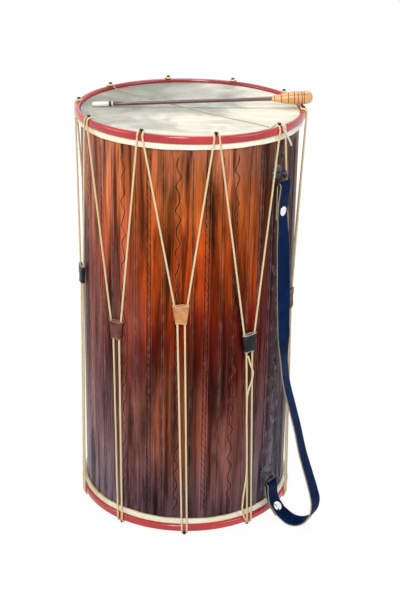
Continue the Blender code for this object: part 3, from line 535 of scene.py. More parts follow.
def carving(theta, z):
    """Depth of the carving below the surface, in metres, over arrays of angle and height."""
    arc_of = SHELL * pi / 180.0
    depth = np.zeros_like(theta)

    def offset(angle):
        return ((theta - angle + 180.0) % 360.0 - 180.0) * arc_of

    for i in range(24):
        shift = offset(1.2 + 15.0 * i)
        depth = np.maximum(depth, groove(shift, 0.0026, 0.0012))
        rib = np.abs(shift - 0.0042)
        depth = np.maximum(depth, groove(rib, 0.0016, 0.0006))
    for i in range(12):
        shift = offset(-6.3 + 30.0 * i)
        swing = 0.0034 * np.sin(2 * pi * z / 0.038 + i * 1.7) + 0.0010 * np.sin(2 * pi * z / 0.0231 + i)
        depth = np.maximum(depth, groove(shift - swing, 0.0034, 0.0013))
        depth = np.maximum(depth, groove(shift + 0.0085, 0.0018, 0.0006))
    for i in range(12):
        shift = offset(8.7 + 30.0 * i)
        inside = np.abs(shift) < 0.0030
        bead = 0.0010 * (1 - np.sqrt(np.clip(1 - (shift / 0.0030) ** 2, 0.0, 1.0)))
        cut = np.abs(np.sin(pi * (z / 0.0135 + shift / 0.0064 + i * 0.3)))
        twist = 0.0014 * np.clip(1 - cut / 0.46, 0.0, 1.0)
        depth = np.where(inside, np.maximum(depth, np.maximum(bead, twist)), depth)
        for side in (-0.0036, 0.0036):
            depth = np.maximum(depth, groove(shift - side, 0.0018, 0.0008))
    for centre in (54.5, 234.5):
        shift = offset(centre)
        panel = np.abs(shift) < 0.0235
        leaves = np.zeros_like(theta)
        stem = 0.0052 * np.sin(2 * pi * z / 0.112)
        leaves = np.maximum(leaves, groove(shift - stem, 0.0020, 0.0009))
        for j in range(13):
            height = 0.040 + 0.0535 * j
            side = 1.0 if j % 2 else -1.0
            cx, cz = side * 0.0085, height
            lean = radians(35.0) * side
            across = (shift - cx) * cos(lean) - (z - cz) * sin(lean)
            along = (shift - cx) * sin(lean) + (z - cz) * cos(lean)
            reach = np.sqrt((across / 0.0062) ** 2 + (along / 0.0160) ** 2)
            leaves = np.maximum(leaves, groove((reach - 1.0) * 0.0075, 0.0026, 0.0013))
            leaves = np.where(reach < 0.9, np.maximum(leaves, groove(across, 0.0015, 0.0006)), leaves)
            curl = np.hypot(shift + side * 0.0105, z - cz - 0.022)
            spin = np.arctan2(z - cz - 0.022, (shift + side * 0.0105) * side)
            spiral = curl - (0.0020 + 0.0034 * ((spin + pi) / (2 * pi)))
            leaves = np.where(curl < 0.0085, np.maximum(leaves, groove(spiral, 0.0018, 0.0008)), leaves)
            leaves = np.where(curl < 0.0085, np.maximum(leaves, groove(curl - 0.0064, 0.0016, 0.0008)), leaves)
        depth = np.where(panel, leaves, depth)
        for side in (-0.0250, 0.0250):
            depth = np.maximum(depth, groove(shift - side, 0.0030, 0.0014))
        for step in (0.0290, 0.0445, 0.0570):
            ridge = np.abs(shift - step)
            depth = np.where(ridge < 0.0060, 0.0016 * (ridge / 0.0060) ** 2, depth)
    ends = np.clip((z - 0.0285) / 0.0060, 0.0, 1.0) * np.clip((SPAN - 0.0285 - z) / 0.0060, 0.0, 1.0)
    return depth * ends


def make_shell():
    columns, rows = 1200, 340
    theta = np.linspace(-180.0, 180.0, columns, endpoint=False)
    low, high = SKIN + GAP, SPAN - SKIN - GAP
    z = np.linspace(low + 0.0016, high - 0.0016, rows)
    angles, heights = np.meshgrid(theta, z)
    depth = carving(angles, heights)
    radius = SHELL - depth
    # How dark the painted shade in each groove is, deeper cuts darker.
    carved = np.clip(depth / 0.0009, 0.0, 1.0) ** 1.2
    # Painted highlight along the rims of each cut, made stronger in the leaf panels.
    blurred = (np.roll(depth, 1, 1) + np.roll(depth, -1, 1)) / 2
    ridge_highlight = np.clip((blurred - depth - 0.00006) / 0.00030, 0.0, 1.0)
    for centre in (54.5, 234.5):
        ridge_highlight = np.where(np.abs((angles - centre + 180.0) % 360.0 - 180.0) < 7.4, ridge_highlight * 2.4, ridge_highlight)
    extra_r = [SHELL - 0.0016, SHELL - WALL, SHELL - WALL, SHELL - 0.0016]
    extra_z = [high, high, low, low]
    flat = np.ones((1, columns))
    for r, level in zip(extra_r, extra_z):
        radius = np.concatenate([radius, r * flat])
        heights = np.concatenate([heights, level * flat])
        angles = np.concatenate([angles, theta[None, :]])
        carved = np.concatenate([carved, 0 * flat])
        ridge_highlight = np.concatenate([ridge_highlight, 0 * flat])
    turn = np.radians(angles)
    points = np.stack([radius * np.sin(turn), -radius * np.cos(turn), heights], axis=-1)
    mesh = grid("carved_shell", points, wrap_rows=True, wrap_columns=True)
    for name, values in (("carve", carved), ("ridge_highlight", ridge_highlight)):
        layer = mesh.attributes.new(name, "FLOAT", "POINT")
        layer.data.foreach_set("value", values.reshape(-1).astype(np.float32))
    mesh.flip_normals()
    piece("carved_shell", mesh, WALNUT, "drum", ["shell"], sharp=60)


# Hoops and heads

def end_matrix(top):
    return Matrix.Translation((0.0, 0.0, SPAN)) if top else Matrix.Rotation(pi, 4, "X")


def make_ends():
    flesh = RISE - HOOP_H - 2 * GAP - SKIN
    for end, top in (("top", True), ("bottom", False)):
        crest = RISE - HOOP_R
        base = RISE - HOOP_H + HOOP_R
        profile = arc(HOOP_MID, crest, HOOP_R, 180, 0, 14) + arc(HOOP_MID, base, HOOP_R, 0, -180, 14)

        def sway(radius, height, turn):
            return radius, height + 0.00015 * np.sin(3 * turn + 1.0) + 0.0001 * np.sin(7 * turn)

        hoop = lathe(f"{end}_hoop_lacquered", profile, 256, matrix=end_matrix(top), wave=sway)
        piece(f"{end}_hoop_lacquered", hoop, RED, "drum", [f"{end}_counter_hoop"], sharp=60)
        reach = [0.0, 0.02, 0.05, 0.09, 0.13, 0.16, 0.18]
        disc = [(r, 0.0) for r in reach] + arc(SHELL - 0.0008, -0.0014, 0.0014, 90, 20, 5)

        def ripple(radius, height, turn):
            rim = np.clip((radius - 0.15) / 0.03, 0.0, 1.0)
            return radius, height - 0.00018 * rim * (1 + np.sin(23 * turn) * np.sin(5 * turn + 2.0))

        head = lathe(f"{end}_head_skin", disc, 192, closed=False, matrix=end_matrix(top), wave=ripple)
        piece(f"{end}_head_skin", head, HEAD, "drum", [f"{end}_head"])
        wall = SHELL + GAP + SKIN / 2
        outside = SHELL + 3 * GAP + 2 * SKIN + 0.0033
        over = flesh + GAP + SKIN
        under = flesh - 0.0075 - GAP - SKIN
        lap = [(wall, -0.0014), (wall, over + 0.0004), (wall + 0.0006, over), (outside - 0.0008, over)]
        lap += arc(outside - 0.0010, over - 0.0010, 0.0010, 80, 0, 4)
        lap += [(outside, (over + under) / 2)]
        lap += arc(outside - 0.0012, under + 0.0012, 0.0012, 0, -90, 5)
        lap += [(wall + 0.0004, under), (wall, under + 0.0003)]
        lap += [(wall - SKIN / 2, under + 0.001), (wall - SKIN / 2, -0.0016)]
        phase = 0.7 if top else 2.9

        def pucker(radius, height, turn):
            edge = np.clip((over - 0.003 - height) / 0.005, 0.0, 1.0)
            wander = 0.00045 * np.sin(4 * turn + phase) + 0.0003 * np.sin(11 * turn) + 0.0002 * np.sin(29 * turn)
            return radius, height + edge * wander

        band = lathe(f"{end}_head_lap", lap, 256, matrix=end_matrix(top), wave=pucker)
        piece(f"{end}_head_lap", band, LAP, "drum", None, sharp=60)


# The rope, laid through its tugs

def rope_edge(top):
    return out_of(top, RISE - HOOP_R - 0.0010)


def tug_frame(k):
    low = polar(pin_angle(False, k), ROPE_LINE, rope_edge(False))
    left = polar(pin_angle(True, k - 1), ROPE_LINE, rope_edge(True))
    right = polar(pin_angle(True, k), ROPE_LINE, rope_edge(True))
    high = (left + right) / 2
    up = (high - low).normalized()
    across = Vector((0.0, 0.0, 1.0)).cross(Vector((low.x, low.y, 0.0))).normalized()
    across = (across - up * across.dot(up)).normalized()
    return low, up, across


def tug_centre(k):
    low, up, across = tug_frame(k)
    return low + up * ((TUG_Z[k] - low.z) / up.z)


def tug_half(height):
    return (TUG_TOP + TUG_BOTTOM) / 4 + (TUG_TOP - TUG_BOTTOM) / 2 / TUG_LEN * height


def in_tug(k, side, height):
    low, up, across = tug_frame(k)
    return tug_centre(k) + up * height + across * (side * (tug_half(height) - LEATHER - SEAT))


def wrap(top, k):
    """The bend over the hoop and round a pin, from its left side to its right."""
    angle = pin_angle(top, k)
    bend = HOOP_R + SEAT
    side = [
        (SPREAD, ROPE_LINE, RISE - HOOP_R - 0.0010),
        (SPREAD, HOOP_MID + bend * sin(pi / 4), RISE - HOOP_R + bend * cos(pi / 4)),
    ]
    for turn in (0.0, pi / 4):
        side.append((PIN_CLEAR * cos(turn), HOOP_MID - PIN_CLEAR * sin(turn), RISE + SEAT))
    left = [polar(angle, radius, out_of(top, level), -across) for across, radius, level in side]
    right = [polar(angle, radius, out_of(top, level), across) for across, radius, level in side]
    return left + [polar(angle, HOOP_MID - PIN_CLEAR, out_of(top, RISE + SEAT))] + right[::-1]


OUTER_TAIL = (
    (0.0210, 0.0118, -0.0340), (0.0165, 0.0118, -0.0265), (0.0115, 0.0112, -0.0190),
    (0.0075, 0.0092, -0.0120), (0.0050, 0.0064, -0.0060),
)
INNER_TAIL = (
    (0.0095, 0.0061, -0.0052), (0.0092, 0.0044, 0.0005), (0.0086, 0.0000, 0.0019),
    (0.0065, -0.0045, 0.0019), (0.0015, -0.0078, 0.0012), (-0.0050, -0.0094, -0.0012),
    (-0.0110, -0.0108, -0.0037), (-0.0190, -0.0118, -0.0041), (-0.0280, -0.0118, -0.0041),
    (-0.0360, -0.0102, -0.0041), (-0.0430, -0.0078, -0.0041),
)
TAIL_PIN = 1
SPARE_RUN = (
    (-0.0055, 0.0037, 0.330), (0.0000, 0.0037, 0.312), (0.0050, 0.0037, 0.297),
    (0.0020, 0.0037, 0.280), (-0.0058, 0.0037, 0.262), (-0.0078, 0.0029, 0.220),
    (-0.0075, 0.0029, 0.150), (-0.0080, 0.0022, 0.095), (-0.0150, 0.0020, 0.050),
    (-0.0165, 0.0020, 0.022), (-0.0084, 0.0012, 0.002),
)


def tail_points(table):
    angle = pin_angle(True, TAIL_PIN)
    return [polar(angle, HOOP_MID + radius, out_of(True, RISE + level), across)
            for across, radius, level in table]


def run_length(route):
    return sum((b - a).length for a, b in zip(route, route[1:]))


def straight(first, last, pieces):
    return [first.lerp(last, i / pieces) for i in range(pieces + 1)]


def make_rope():
    wraps = []
    for k in range(PINS):
        for top in (True, False):
            if top and k == TAIL_PIN:
                continue
            wraps.append(tube("wrap", catmull(wrap(top, k), 0.0012), ROPE, 12, ends=False))
    angle = pin_angle(True, TAIL_PIN)
    # At the tail pin the rope comes in on the right and leaves on the left
    first = catmull(tail_points(OUTER_TAIL)[-2:] + wrap(True, TAIL_PIN)[::-1][1:], 0.0012)
    wraps.append(tube("wrap", first, ROPE, 12, ends=False))
    mesh = join("rope_over_hoops", wraps)
    piece("rope_over_hoops", mesh, HEMP, "drum", ["tension_rope"])
    for k in range(PINS):
        ends = []
        for side in (-1, 1):
            if side < 0:
                hook = wrap(True, (k - 1) % PINS)[-1]
                if (k - 1) % PINS == TAIL_PIN:
                    hook = tail_points(INNER_TAIL)[0]
            else:
                hook = wrap(True, k)[0]
            low_hook = wrap(False, k)[0 if side < 0 else -1]
            ends.append((side, hook, low_hook))
        upper = []
        lower = []
        for side, hook, low_hook in ends:
            length = run_length([hook, in_tug(k, side, TUG_LEN / 2)])
            route = straight(hook, in_tug(k, side, TUG_LEN / 2), 28)
            route += straight(in_tug(k, side, TUG_LEN / 2), in_tug(k, side, 0.0), 4)[1:]
            upper.append(tube("leg", route, ROPE, 12, ends=False))
            route = straight(in_tug(k, side, 0.0), in_tug(k, side, -TUG_LEN / 2), 4)
            route += straight(in_tug(k, side, -TUG_LEN / 2), low_hook, 28)[1:]
            lower.append(tube("leg", route, ROPE, 12, start=length + TUG_LEN / 2, ends=False))
        top_piece = piece(f"rope_above_tug_{k + 1}", join("legs", upper), HEMP, None, None)
        low_piece = piece(f"rope_below_tug_{k + 1}", join("legs", lower), HEMP, None, None)
        low, up, across = tug_frame(k)
        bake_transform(top_piece)
        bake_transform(low_piece)


def ends_of_rope():
    angle = pin_angle(True, TAIL_PIN)
    route = catmull(tail_points(OUTER_TAIL)[::-1], 0.0030)
    mesh = tube("rope_outer_tail", route, ROPE, 12)
    outer = piece("rope_outer_tail", mesh, WHITE_HEMP, "drum", None)
    route = catmull(tail_points(INNER_TAIL), 0.0030)
    mesh = tube("rope_inner_tail", route, ROPE, 12)
    inner = piece("rope_inner_tail", mesh, WHITE_HEMP, "drum", None)
    low, up, across = tug_frame(1)
    out = across.cross(up)
    points = [low + up * ((height - low.z) / up.z) + across * side + out * stand
              for side, stand, height in SPARE_RUN]
    route = catmull(points, 0.0060)
    mesh = tube("rope_spare_run", route, ROPE, 12)
    spare = piece("rope_spare_run", mesh, HEMP, None, ["rope_spare_end"])
    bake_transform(spare)


def make_snare():
    rest = out_of(True, GAP + 0.0007)
    angle = pin_angle(True, TAIL_PIN)
    points = [
        polar(angle, HOOP_IN - GAP * 2 - 0.0007, rest),
        polar(angle, 0.1450, rest),
        polar(angle - 4.0, 0.0700, rest),
        Vector((0.0, -0.0060, rest)),
        polar(angle + 182.0, 0.0800, rest),
        polar(angle + 180.0, 0.1600, rest),
        polar(angle + 180.0, 0.1790, rest + 0.0020),
        polar(angle + 180.0, HOOP_MID - PIN_CLEAR - SEAT - 0.0014, out_of(True, RISE + 0.0012)),
    ]
    mesh = tube("snare_string", catmull(points, 0.004), 0.0007, 8)
    piece("snare_string", mesh, SNARE, "drum", ["snare"])


def make_tugs():
    looks = ["tan", "black", "brown", "brown", "tan", "brown", "brown", "tan", "black", "brown"]
    rows = 15
    for k in range(PINS):
        low, up, across = tug_frame(k)
        out = across.cross(up)
        centre = tug_centre(k)
        phase = RNG.uniform(0, 2 * pi, 4)
        levels = np.linspace(-TUG_LEN / 2, TUG_LEN / 2, rows)
        columns = 56
        outer = np.zeros((rows, columns, 3))
        inner = np.zeros((rows, columns, 3))
        for i, level in enumerate(levels):
            flare = 0.0006 * (2 * abs(level) / TUG_LEN) ** 4
            for grown, target in ((SEAT + LEATHER, outer), (SEAT, inner)):
                half = tug_half(level) - (0.0 if grown > SEAT + 0.0001 else LEATHER)
                sag = 0.00035 * sin(level * 260 + phase[0])
                for j in range(columns):
                    turn = 2 * pi * j / columns
                    cx = (half - grown) * (1 if cos(turn) >= 0 else -1)
                    pull = abs(cos(turn)) ** 0.5
                    x = cx * pull + grown * cos(turn)
                    y = grown * np.sign(sin(turn)) * min(1.0, abs(sin(turn)) * 1.25) + sag * sin(turn)
                    edge_wave = 0.0005 * sin(3 * turn + phase[1]) + 0.0003 * sin(7 * turn + phase[2])
                    lift = level + edge_wave * (2 * level / TUG_LEN) ** 3
                    y += np.sign(y) * flare * 0.5 if grown > SEAT + 0.0001 else 0.0
                    y = max(y * 0.97, -(grown - 0.0004))
                    target[i, j] = centre + across * x + out * y + up * lift
        lip_high = (outer[-1] * 0.5 + inner[-1] * 0.5) + np.array(up) * 0.0002
        lip_low = (outer[0] * 0.5 + inner[0] * 0.5) - np.array(up) * 0.0002
        points = np.concatenate([outer, lip_high[None], inner[::-1], lip_low[None]])
        mesh = tidy(grid(f"tug_leather_{k + 1}", points, wrap_rows=True, wrap_columns=True))
        raw = mesh.attributes.new("raw", "FLOAT", "POINT")
        for corner, value in zip(mesh.vertices, raw.data):
            height = abs((corner.co - centre).dot(up))
            value.value = max(0.0, min(1.0, (height - TUG_LEN / 2 + 0.0014) / 0.0010))
        piece(f"tug_leather_{k + 1}", mesh, TUG_LOOKS[looks[k]], f"tug_{k + 1}", [f"tug_{k + 1}"],
              sharp=50)


# Strap, rings, eyes and rivets

STRAP_RUN = (
    (0.0152, 0.883, 49.7, 48.0), (0.0182, 0.796, 50.0, 36.0), (0.0212, 0.668, 50.5, 32.0),
    (0.0237, 0.537, 51.0, 38.0), (0.0277, 0.428, 51.3, 60.0), (0.0342, 0.361, 51.5, 62.0),
    (0.0457, 0.298, 51.7, 62.0), (0.0597, 0.222, 52.0, 62.0), (0.0727, 0.145, 52.0, 60.0),
    (0.0887, 0.073, 52.0, 57.0), (0.0997, 0.023, 52.0, 54.0),
)
STRAP_FOOT = (
    (0.1052, -0.0077, 52.0, 52.0, 8.0), (0.1027, -0.0290, 51.8, 51.0, 14.0),
    (0.0917, -0.0470, 51.5, 51.0, 16.0), (0.0757, -0.0580, 51.2, 51.0, 16.0),
    (0.0587, -0.0600, 50.8, 50.5, 15.0), (0.0455, -0.0535, 50.2, 50.0, 12.0),
)
TOP_BAR = EYE_Z["top"] - HANG - DROP
LOW_BAR = EYE_Z["bottom"] - HANG - DROP
FOLD = RING_WIRE + GAP + STRAP_T / 2


def foot_rivet():
    slant = radians(45.0)
    return (EYE_R + 0.0165, LOW_BAR - 0.0402), (cos(slant), -sin(slant)), (-sin(slant), -cos(slant))


def strap_stations():
    stations = []

    def add(radius, height, plane, face, tilt=0.0):
        width = tangent(face) * cos(radians(tilt)) + Vector((0.0, 0.0, sin(radians(tilt))))
        stations.append((radial(plane) * radius + Vector((0.0, 0.0, height)), width))

    back = EYE_R - FOLD
    for drop in (RIVET_DROP + 0.0130, RIVET_DROP, RIVET_DROP - 0.0100, 0.0150):
        add(back, TOP_BAR - drop, STRAP_A, STRAP_A)
    for i in range(9):
        turn = pi - pi * i / 8
        add(EYE_R + FOLD * cos(turn), TOP_BAR + FOLD * sin(turn), STRAP_A, STRAP_A)
    add(back + LAYER + 0.0018, TOP_BAR - 0.0200, STRAP_A, STRAP_A)
    for drop in (RIVET_DROP - 0.0095, RIVET_DROP, RIVET_DROP + 0.0095):
        add(back + LAYER, TOP_BAR - drop, STRAP_A, STRAP_A)
    for stand, share, plane, face in STRAP_RUN:
        add(SHELL + stand, LOW_BAR + share * (TOP_BAR - LOW_BAR), plane, face)
    for stand, height, plane, face, tilt in STRAP_FOOT:
        add(SHELL + stand, LOW_BAR + height, plane, face, tilt)
    centre, along, behind = foot_rivet()
    for reach in (0.0095, 0.0, -0.0095):
        add(centre[0] + along[0] * reach, centre[1] + along[1] * reach, STRAP_A, STRAP_A, 6.0)
    add(EYE_R + FOLD + 0.0012, LOW_BAR - 0.0170, STRAP_A, STRAP_A)
    for i in range(9):
        turn = pi * i / 8
        add(EYE_R + FOLD * cos(turn), LOW_BAR + FOLD * sin(turn), STRAP_A, STRAP_A)
    add(back + 0.0030, LOW_BAR - 0.0200, STRAP_A, STRAP_A)
    for reach in (-0.0095, 0.0, 0.0130):
        add(centre[0] + along[0] * reach + behind[0] * LAYER,
            centre[1] + along[1] * reach + behind[1] * LAYER, STRAP_A, STRAP_A, 6.0)
    return stations


def make_strap():
    stations = strap_stations()
    points = [point for point, width in stations]
    route = catmull(points, 0.0030)
    marks = [0.0]
    for i in range(1, len(points)):
        marks.append(marks[-1] + (points[i] - points[i - 1]).length)
    count = len(route)
    widths = []
    station = 0
    for place in route:
        while station + 2 < len(points) and (place - points[station + 1]).length < 1e-6:
            station += 1
        a, b = points[station], points[station + 1]
        share = max(0.0, min(1.0, (place - a).dot(b - a) / (b - a).length_squared))
        share = share * share * (3 - 2 * share)
        widths.append(stations[station][1].lerp(stations[station + 1][1], share))
    half, thick = STRAP_W / 2, STRAP_T / 2
    soft = 0.0007
    section = []
    steps = 9
    for i in range(steps):
        section.append((-half + soft + (2 * half - 2 * soft) * i / (steps - 1), thick))
    section += [(half - 0.0002, thick - 0.0002), (half, thick - soft), (half, -thick + soft), (half - 0.0002, -thick + 0.0002)]
    for i in range(steps):
        section.append((half - soft - (2 * half - 2 * soft) * i / (steps - 1), -thick))
    section += [(-half + 0.0002, -thick + 0.0002), (-half, -thick + soft), (-half, thick - soft), (-half + 0.0002, thick - 0.0002)]
    rings = []
    for i, place in enumerate(route):
        ahead = route[min(i + 1, count - 1)] - route[max(i - 1, 0)]
        ahead.normalize()
        width = widths[i]
        width = (width - ahead * width.dot(ahead)).normalized()
        normal = width.cross(ahead)
        rings.append([place + width * a + normal * b for a, b in section])
    length = run_length(route)
    middle = next(i for i, place in enumerate(route) if i > 60 and place.z < 0.330)
    halves = (
        ("strap_upper_half", rings[:middle + 1], "top_ring", True, 0),
        ("strap_lower_half", rings[middle:], "bottom_ring", False, middle),
    )
    raw_row = [1.0 if abs(a) > half - 0.0004 else 0.0 for a, b in section]
    for name, part, ring_body, upper, offset in halves:
        array = np.array([[tuple(p) for p in ring] for ring in part])
        closing = array.mean(axis=1, keepdims=True) * np.ones((1, len(section), 1))
        if upper:
            array = np.concatenate([closing[:1], array])
        else:
            array = np.concatenate([array, closing[-1:]])
        mesh = grid(name, array, wrap_columns=True)
        raw = mesh.attributes.new("raw", "FLOAT", "POINT")
        values = np.tile(np.array(raw_row, dtype=np.float32), len(array))
        raw.data.foreach_set("value", values)
        mesh = tidy(mesh)
        strap = piece(name, mesh, NAVY, None, ["strap"] if upper else None, sharp=60)
        if upper:
            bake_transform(strap)
        else:
            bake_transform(strap)
    return length


def rivet_frames():
    out = radial(STRAP_A)
    side = tangent(STRAP_A)
    upward = Vector((0.0, 0.0, 1.0))
    middle = EYE_R - FOLD + LAYER / 2
    upper = Matrix.Translation(out * middle + upward * (TOP_BAR - RIVET_DROP)) @ Matrix(
        (side, upward, out)).transposed().to_4x4()
    centre, along, behind = foot_rivet()
    normal = out * -behind[0] + upward * -behind[1]
    run = out * along[0] + upward * along[1]
    place = out * (centre[0] + behind[0] * LAYER / 2) + upward * (centre[1] + behind[1] * LAYER / 2)
    cross = run.cross(normal)
    base = Matrix((cross, normal.cross(cross), normal)).transposed().to_4x4()
    lower = Matrix.Translation(place) @ Matrix.Rotation(radians(6.0), 4, run) @ base
    return {"top": upper, "bottom": lower}


def make_hardware():
    loop = EYE_HOLE + EYE_WIRE
    out = radial(STRAP_A)
    side = tangent(STRAP_A)
    upward = Vector((0.0, 0.0, 1.0))
    grip = LAYER / 2 + STRAP_T / 2 + GAP * 0.5
    cap = 0.0082
    profile = [(0.0, grip + 0.0016)]
    profile += [(cap * t, grip + 0.0016 * (1 - t ** 3.2)) for t in (0.2, 0.4, 0.6, 0.75, 0.86, 0.93, 0.98)]
    profile += [(cap, grip + 0.0001), (cap - 0.0005, grip - 0.0002), (0.0020, grip - 0.0002)]
    profile += [(0.0020, -grip), (0.0047, -grip), (0.0045, -grip - 0.0009), (0.0, -grip - 0.0011)]
    for end, level in EYE_Z.items():
        body = f"{end}_ring"
        route = [out * (SHELL - WALL - 0.0055), out * (EYE_R - loop - 0.0030)]
        route += [out * (EYE_R + loop * cos(radians(200 - 325 * i / 40)))
                  + upward * (loop * sin(radians(200 - 325 * i / 40))) for i in range(41)]
        route = [p + upward * level for p in route]
        piece(f"eye_wire_{end}", tube("eye", catmull(route, 0.0010), EYE_WIRE, 14), SILVERED, "drum",
              [f"strap_eye_{end}"], sharp=60)
        high = level - HANG
        low = high - DROP
        corner = 0.0040
        half = [(0.0035, high), (0.0062, high - 0.0012)]
        for i in range(7):
            turn = radians(20.0 - 110.0 * i / 6)
            half.append((0.0165 - corner + corner * cos(turn), low + corner + corner * sin(turn)))
        outline = half + [(-a, b) for a, b in half[::-1]]
        route = [out * EYE_R + side * a + upward * b for a, b in outline]
        piece(f"ring_wire_{end}", tube("ring", catmull(route + [route[0]], 0.0012)[:-1], RING_WIRE, 14, cyclic=True),
              IRON, body, [f"strap_ring_{end}"], sharp=60)
        turn = np.linspace(0, 2 * pi, 144, endpoint=False)
        levels = [(0.0021, 0.0), (0.0021, 0.0024), (0.0045, 0.0024), (0.0055, 0.0014), (0.0070, 0.0017),
                  (0.0090, 0.0020), (0.0110, 0.0016), (0.0125, 0.0011), (0.0140, 0.0004), (0.0140, 0.0), (0.0100, 0.0)]
        points = np.zeros((len(levels), 144, 3))
        place = out * (SHELL * cos(pi / 48) + GAP) + upward * level
        for i, (radius, height) in enumerate(levels):
            lobe = np.cos(12 * turn)
            fringe = min(1.0, max(0.0, (radius - 0.006) / 0.008))
            reach = radius * (1 - 0.09 * fringe * (1 - lobe))
            rise = height * (1 + 0.35 * lobe * fringe) if height > 0 else 0 * turn
            for j in range(144):
                points[i, j] = place + side * (reach[j] * cos(turn[j])) + upward * (reach[j] * sin(turn[j])) + out * float(np.broadcast_to(rise, 144)[j])
        mesh = tidy(grid("rosette", points, wrap_rows=True, wrap_columns=True))
        piece(f"rosette_{end}", mesh, SILVERED, "drum", [f"eye_rosette_{end}"], sharp=40)
        rivet = lathe("rivet", profile, 48, closed=False, matrix=rivet_frames()[end])
        piece(f"rivet_cap_{end}", rivet, NICKEL, body, [f"strap_rivet_{end}"], sharp=40)


# Pins with domed heads

def make_pins():
    under = 2 * SEAT
    top_at = under + 0.0018
    flat = [(0.0, top_at), (0.0021, top_at)]
    profile = flat + arc(0.0024, under + 0.0010, 0.0009, 80, 0, 4)
    profile += [(0.0033, under + 0.0004), (0.0030, under), (0.0016, under), (0.0016, -0.009), (0.0, -0.009)]
    for end, top in (("top", True), ("bottom", False)):
        for k in range(PINS):
            place = Matrix.Translation(polar(pin_angle(top, k), HOOP_MID, out_of(top, RISE)))
            turn = Matrix.Identity(4) if top else Matrix.Rotation(pi, 4, "X")
            mesh = lathe("pin", profile, 24, closed=False, matrix=place @ turn)
            piece(f"{end}_nail_{k + 1}", mesh, IRON, "drum", [f"{end}_pin_{k + 1}"], sharp=40)


# The stick

def stick_matrix():
    left, length, turn = -0.1686, 0.3790, 1.4
    rest_left = out_of(True, GAP + 0.0043)
    rest_right = out_of(True, RISE + GAP + 0.0114)
    slope = atan2(rest_right - rest_left, HOOP_MID - (left + 0.0145))
    start = Vector((left, 0.0040, rest_left - 0.0145 * sin(slope)))
    return Matrix.Translation(start) @ Matrix.Rotation(radians(turn), 4, "Z") @ Matrix.Rotation(pi / 2 - slope, 4, "Y")


def make_stick():
    lay = stick_matrix()
    tip_r, tip = 0.0043, 0.0290
    collar = tip + GAP
    ring = collar + 0.0042 + GAP
    shaft = ring + 0.0022 + GAP
    handle = 0.3790 - 0.0705
    profile = [(0.0, 0.0)] + [(tip_r * 0.98 * sin(radians(a)), 0.0040 * (1 - cos(radians(a)))) for a in range(15, 91, 15)]
    profile += [(tip_r, 0.010), (tip_r, 0.022), (tip_r * 0.94, tip - 0.0006), (tip_r * 0.85, tip), (0.0, tip)]
    piece("stick_tip_bone", lathe("tip", profile[::-1], 40, closed=False, matrix=lay), BONE, "stick",
          ["stick_tip"], sharp=40)
    profile = [(0.0021, collar), (0.0040, collar), (0.0042, collar + 0.0005), (0.0042, collar + 0.0014),
               (0.0038, collar + 0.0021), (0.0042, collar + 0.0028), (0.0042, collar + 0.0037),
               (0.0040, collar + 0.0042), (0.0021, collar + 0.0042)]
    piece("stick_collar_turned", lathe("collar", profile[::-1], 40, matrix=lay), COLLAR, "stick",
          ["stick_collar"], sharp=40)
    profile = [(0.0021, ring), (0.0036, ring), (0.0039, ring + 0.0005), (0.0039, ring + 0.0017),
               (0.0036, ring + 0.0022), (0.0021, ring + 0.0022)]
    piece("stick_ring_bone", lathe("ring", profile[::-1], 40, matrix=lay), BONE, "stick",
          ["stick_ring"], sharp=40)
    profile = [(0.0, shaft), (0.0036, shaft), (0.0038, shaft + 0.0004)]
    profile += [(0.0038 - 0.00025 * sin(pi * t / 10), shaft + 0.0004 + (handle - shaft - 0.001) * t / 10) for t in range(1, 10)]
    profile += [(0.0038, handle - GAP), (0.0, handle - GAP)]
    piece("stick_rod", lathe("rod", profile[::-1], 40, closed=False, matrix=lay), EBONY, "stick",
          ["stick_shaft"], sharp=40)
    full, length = 0.0114, 0.0705
    outline = np.array([
        (0.00, 0.36), (0.05, 0.44), (0.09, 0.48), (0.20, 0.60), (0.24, 0.72), (0.38, 0.88), (0.52, 0.98),
        (0.60, 1.00), (0.75, 1.00), (0.82, 0.985), (0.90, 0.92), (0.95, 0.79), (0.98, 0.58), (1.00, 0.26),
    ])
    grooves = (0.070, 0.230, 0.400, 0.545, 0.635, 0.730, 0.785)
    shares = np.unique(np.concatenate([np.linspace(0, 1, 91)] + [np.linspace(g - 0.014, g + 0.014, 9) for g in grooves]))
    widths = np.interp(shares, outline[:, 0], outline[:, 1])
    cut = np.zeros_like(shares)
    for g in grooves:
        cut = np.maximum(cut, np.clip(1 - np.abs(shares - g) / 0.013, 0, 1))
    radius = full * widths - 0.00075 * cut
    profile = [(0.0, handle)] + [(r, handle + s * length) for r, s in zip(radius, shares)] + [(0.0, handle + length)]
    mesh = lathe("handle", profile[::-1], 64, closed=False, matrix=lay)
    layer = mesh.attributes.new("carve", "FLOAT", "POINT")
    back = lay.inverted()
    for corner, value in zip(mesh.vertices, layer.data):
        share = ((back @ corner.co).z - handle) / length
        value.value = float(np.interp(share, shares, np.clip(cut * 1.6, 0, 1)))
    piece("stick_handle_turned", mesh, OLIVE, "stick", ["stick_handle"], sharp=50)


def dress_hidden():
    for name in ("top_reinforcing_ring", "bottom_reinforcing_ring", "top_flesh_hoop", "bottom_flesh_hoop"):
        NODES[name].material_slots[0].material = BEECH
    for name in ("strap_eye_nut_top", "strap_eye_nut_bottom"):
        NODES[name].material_slots[0].material = IRON


# Floor, light and camera

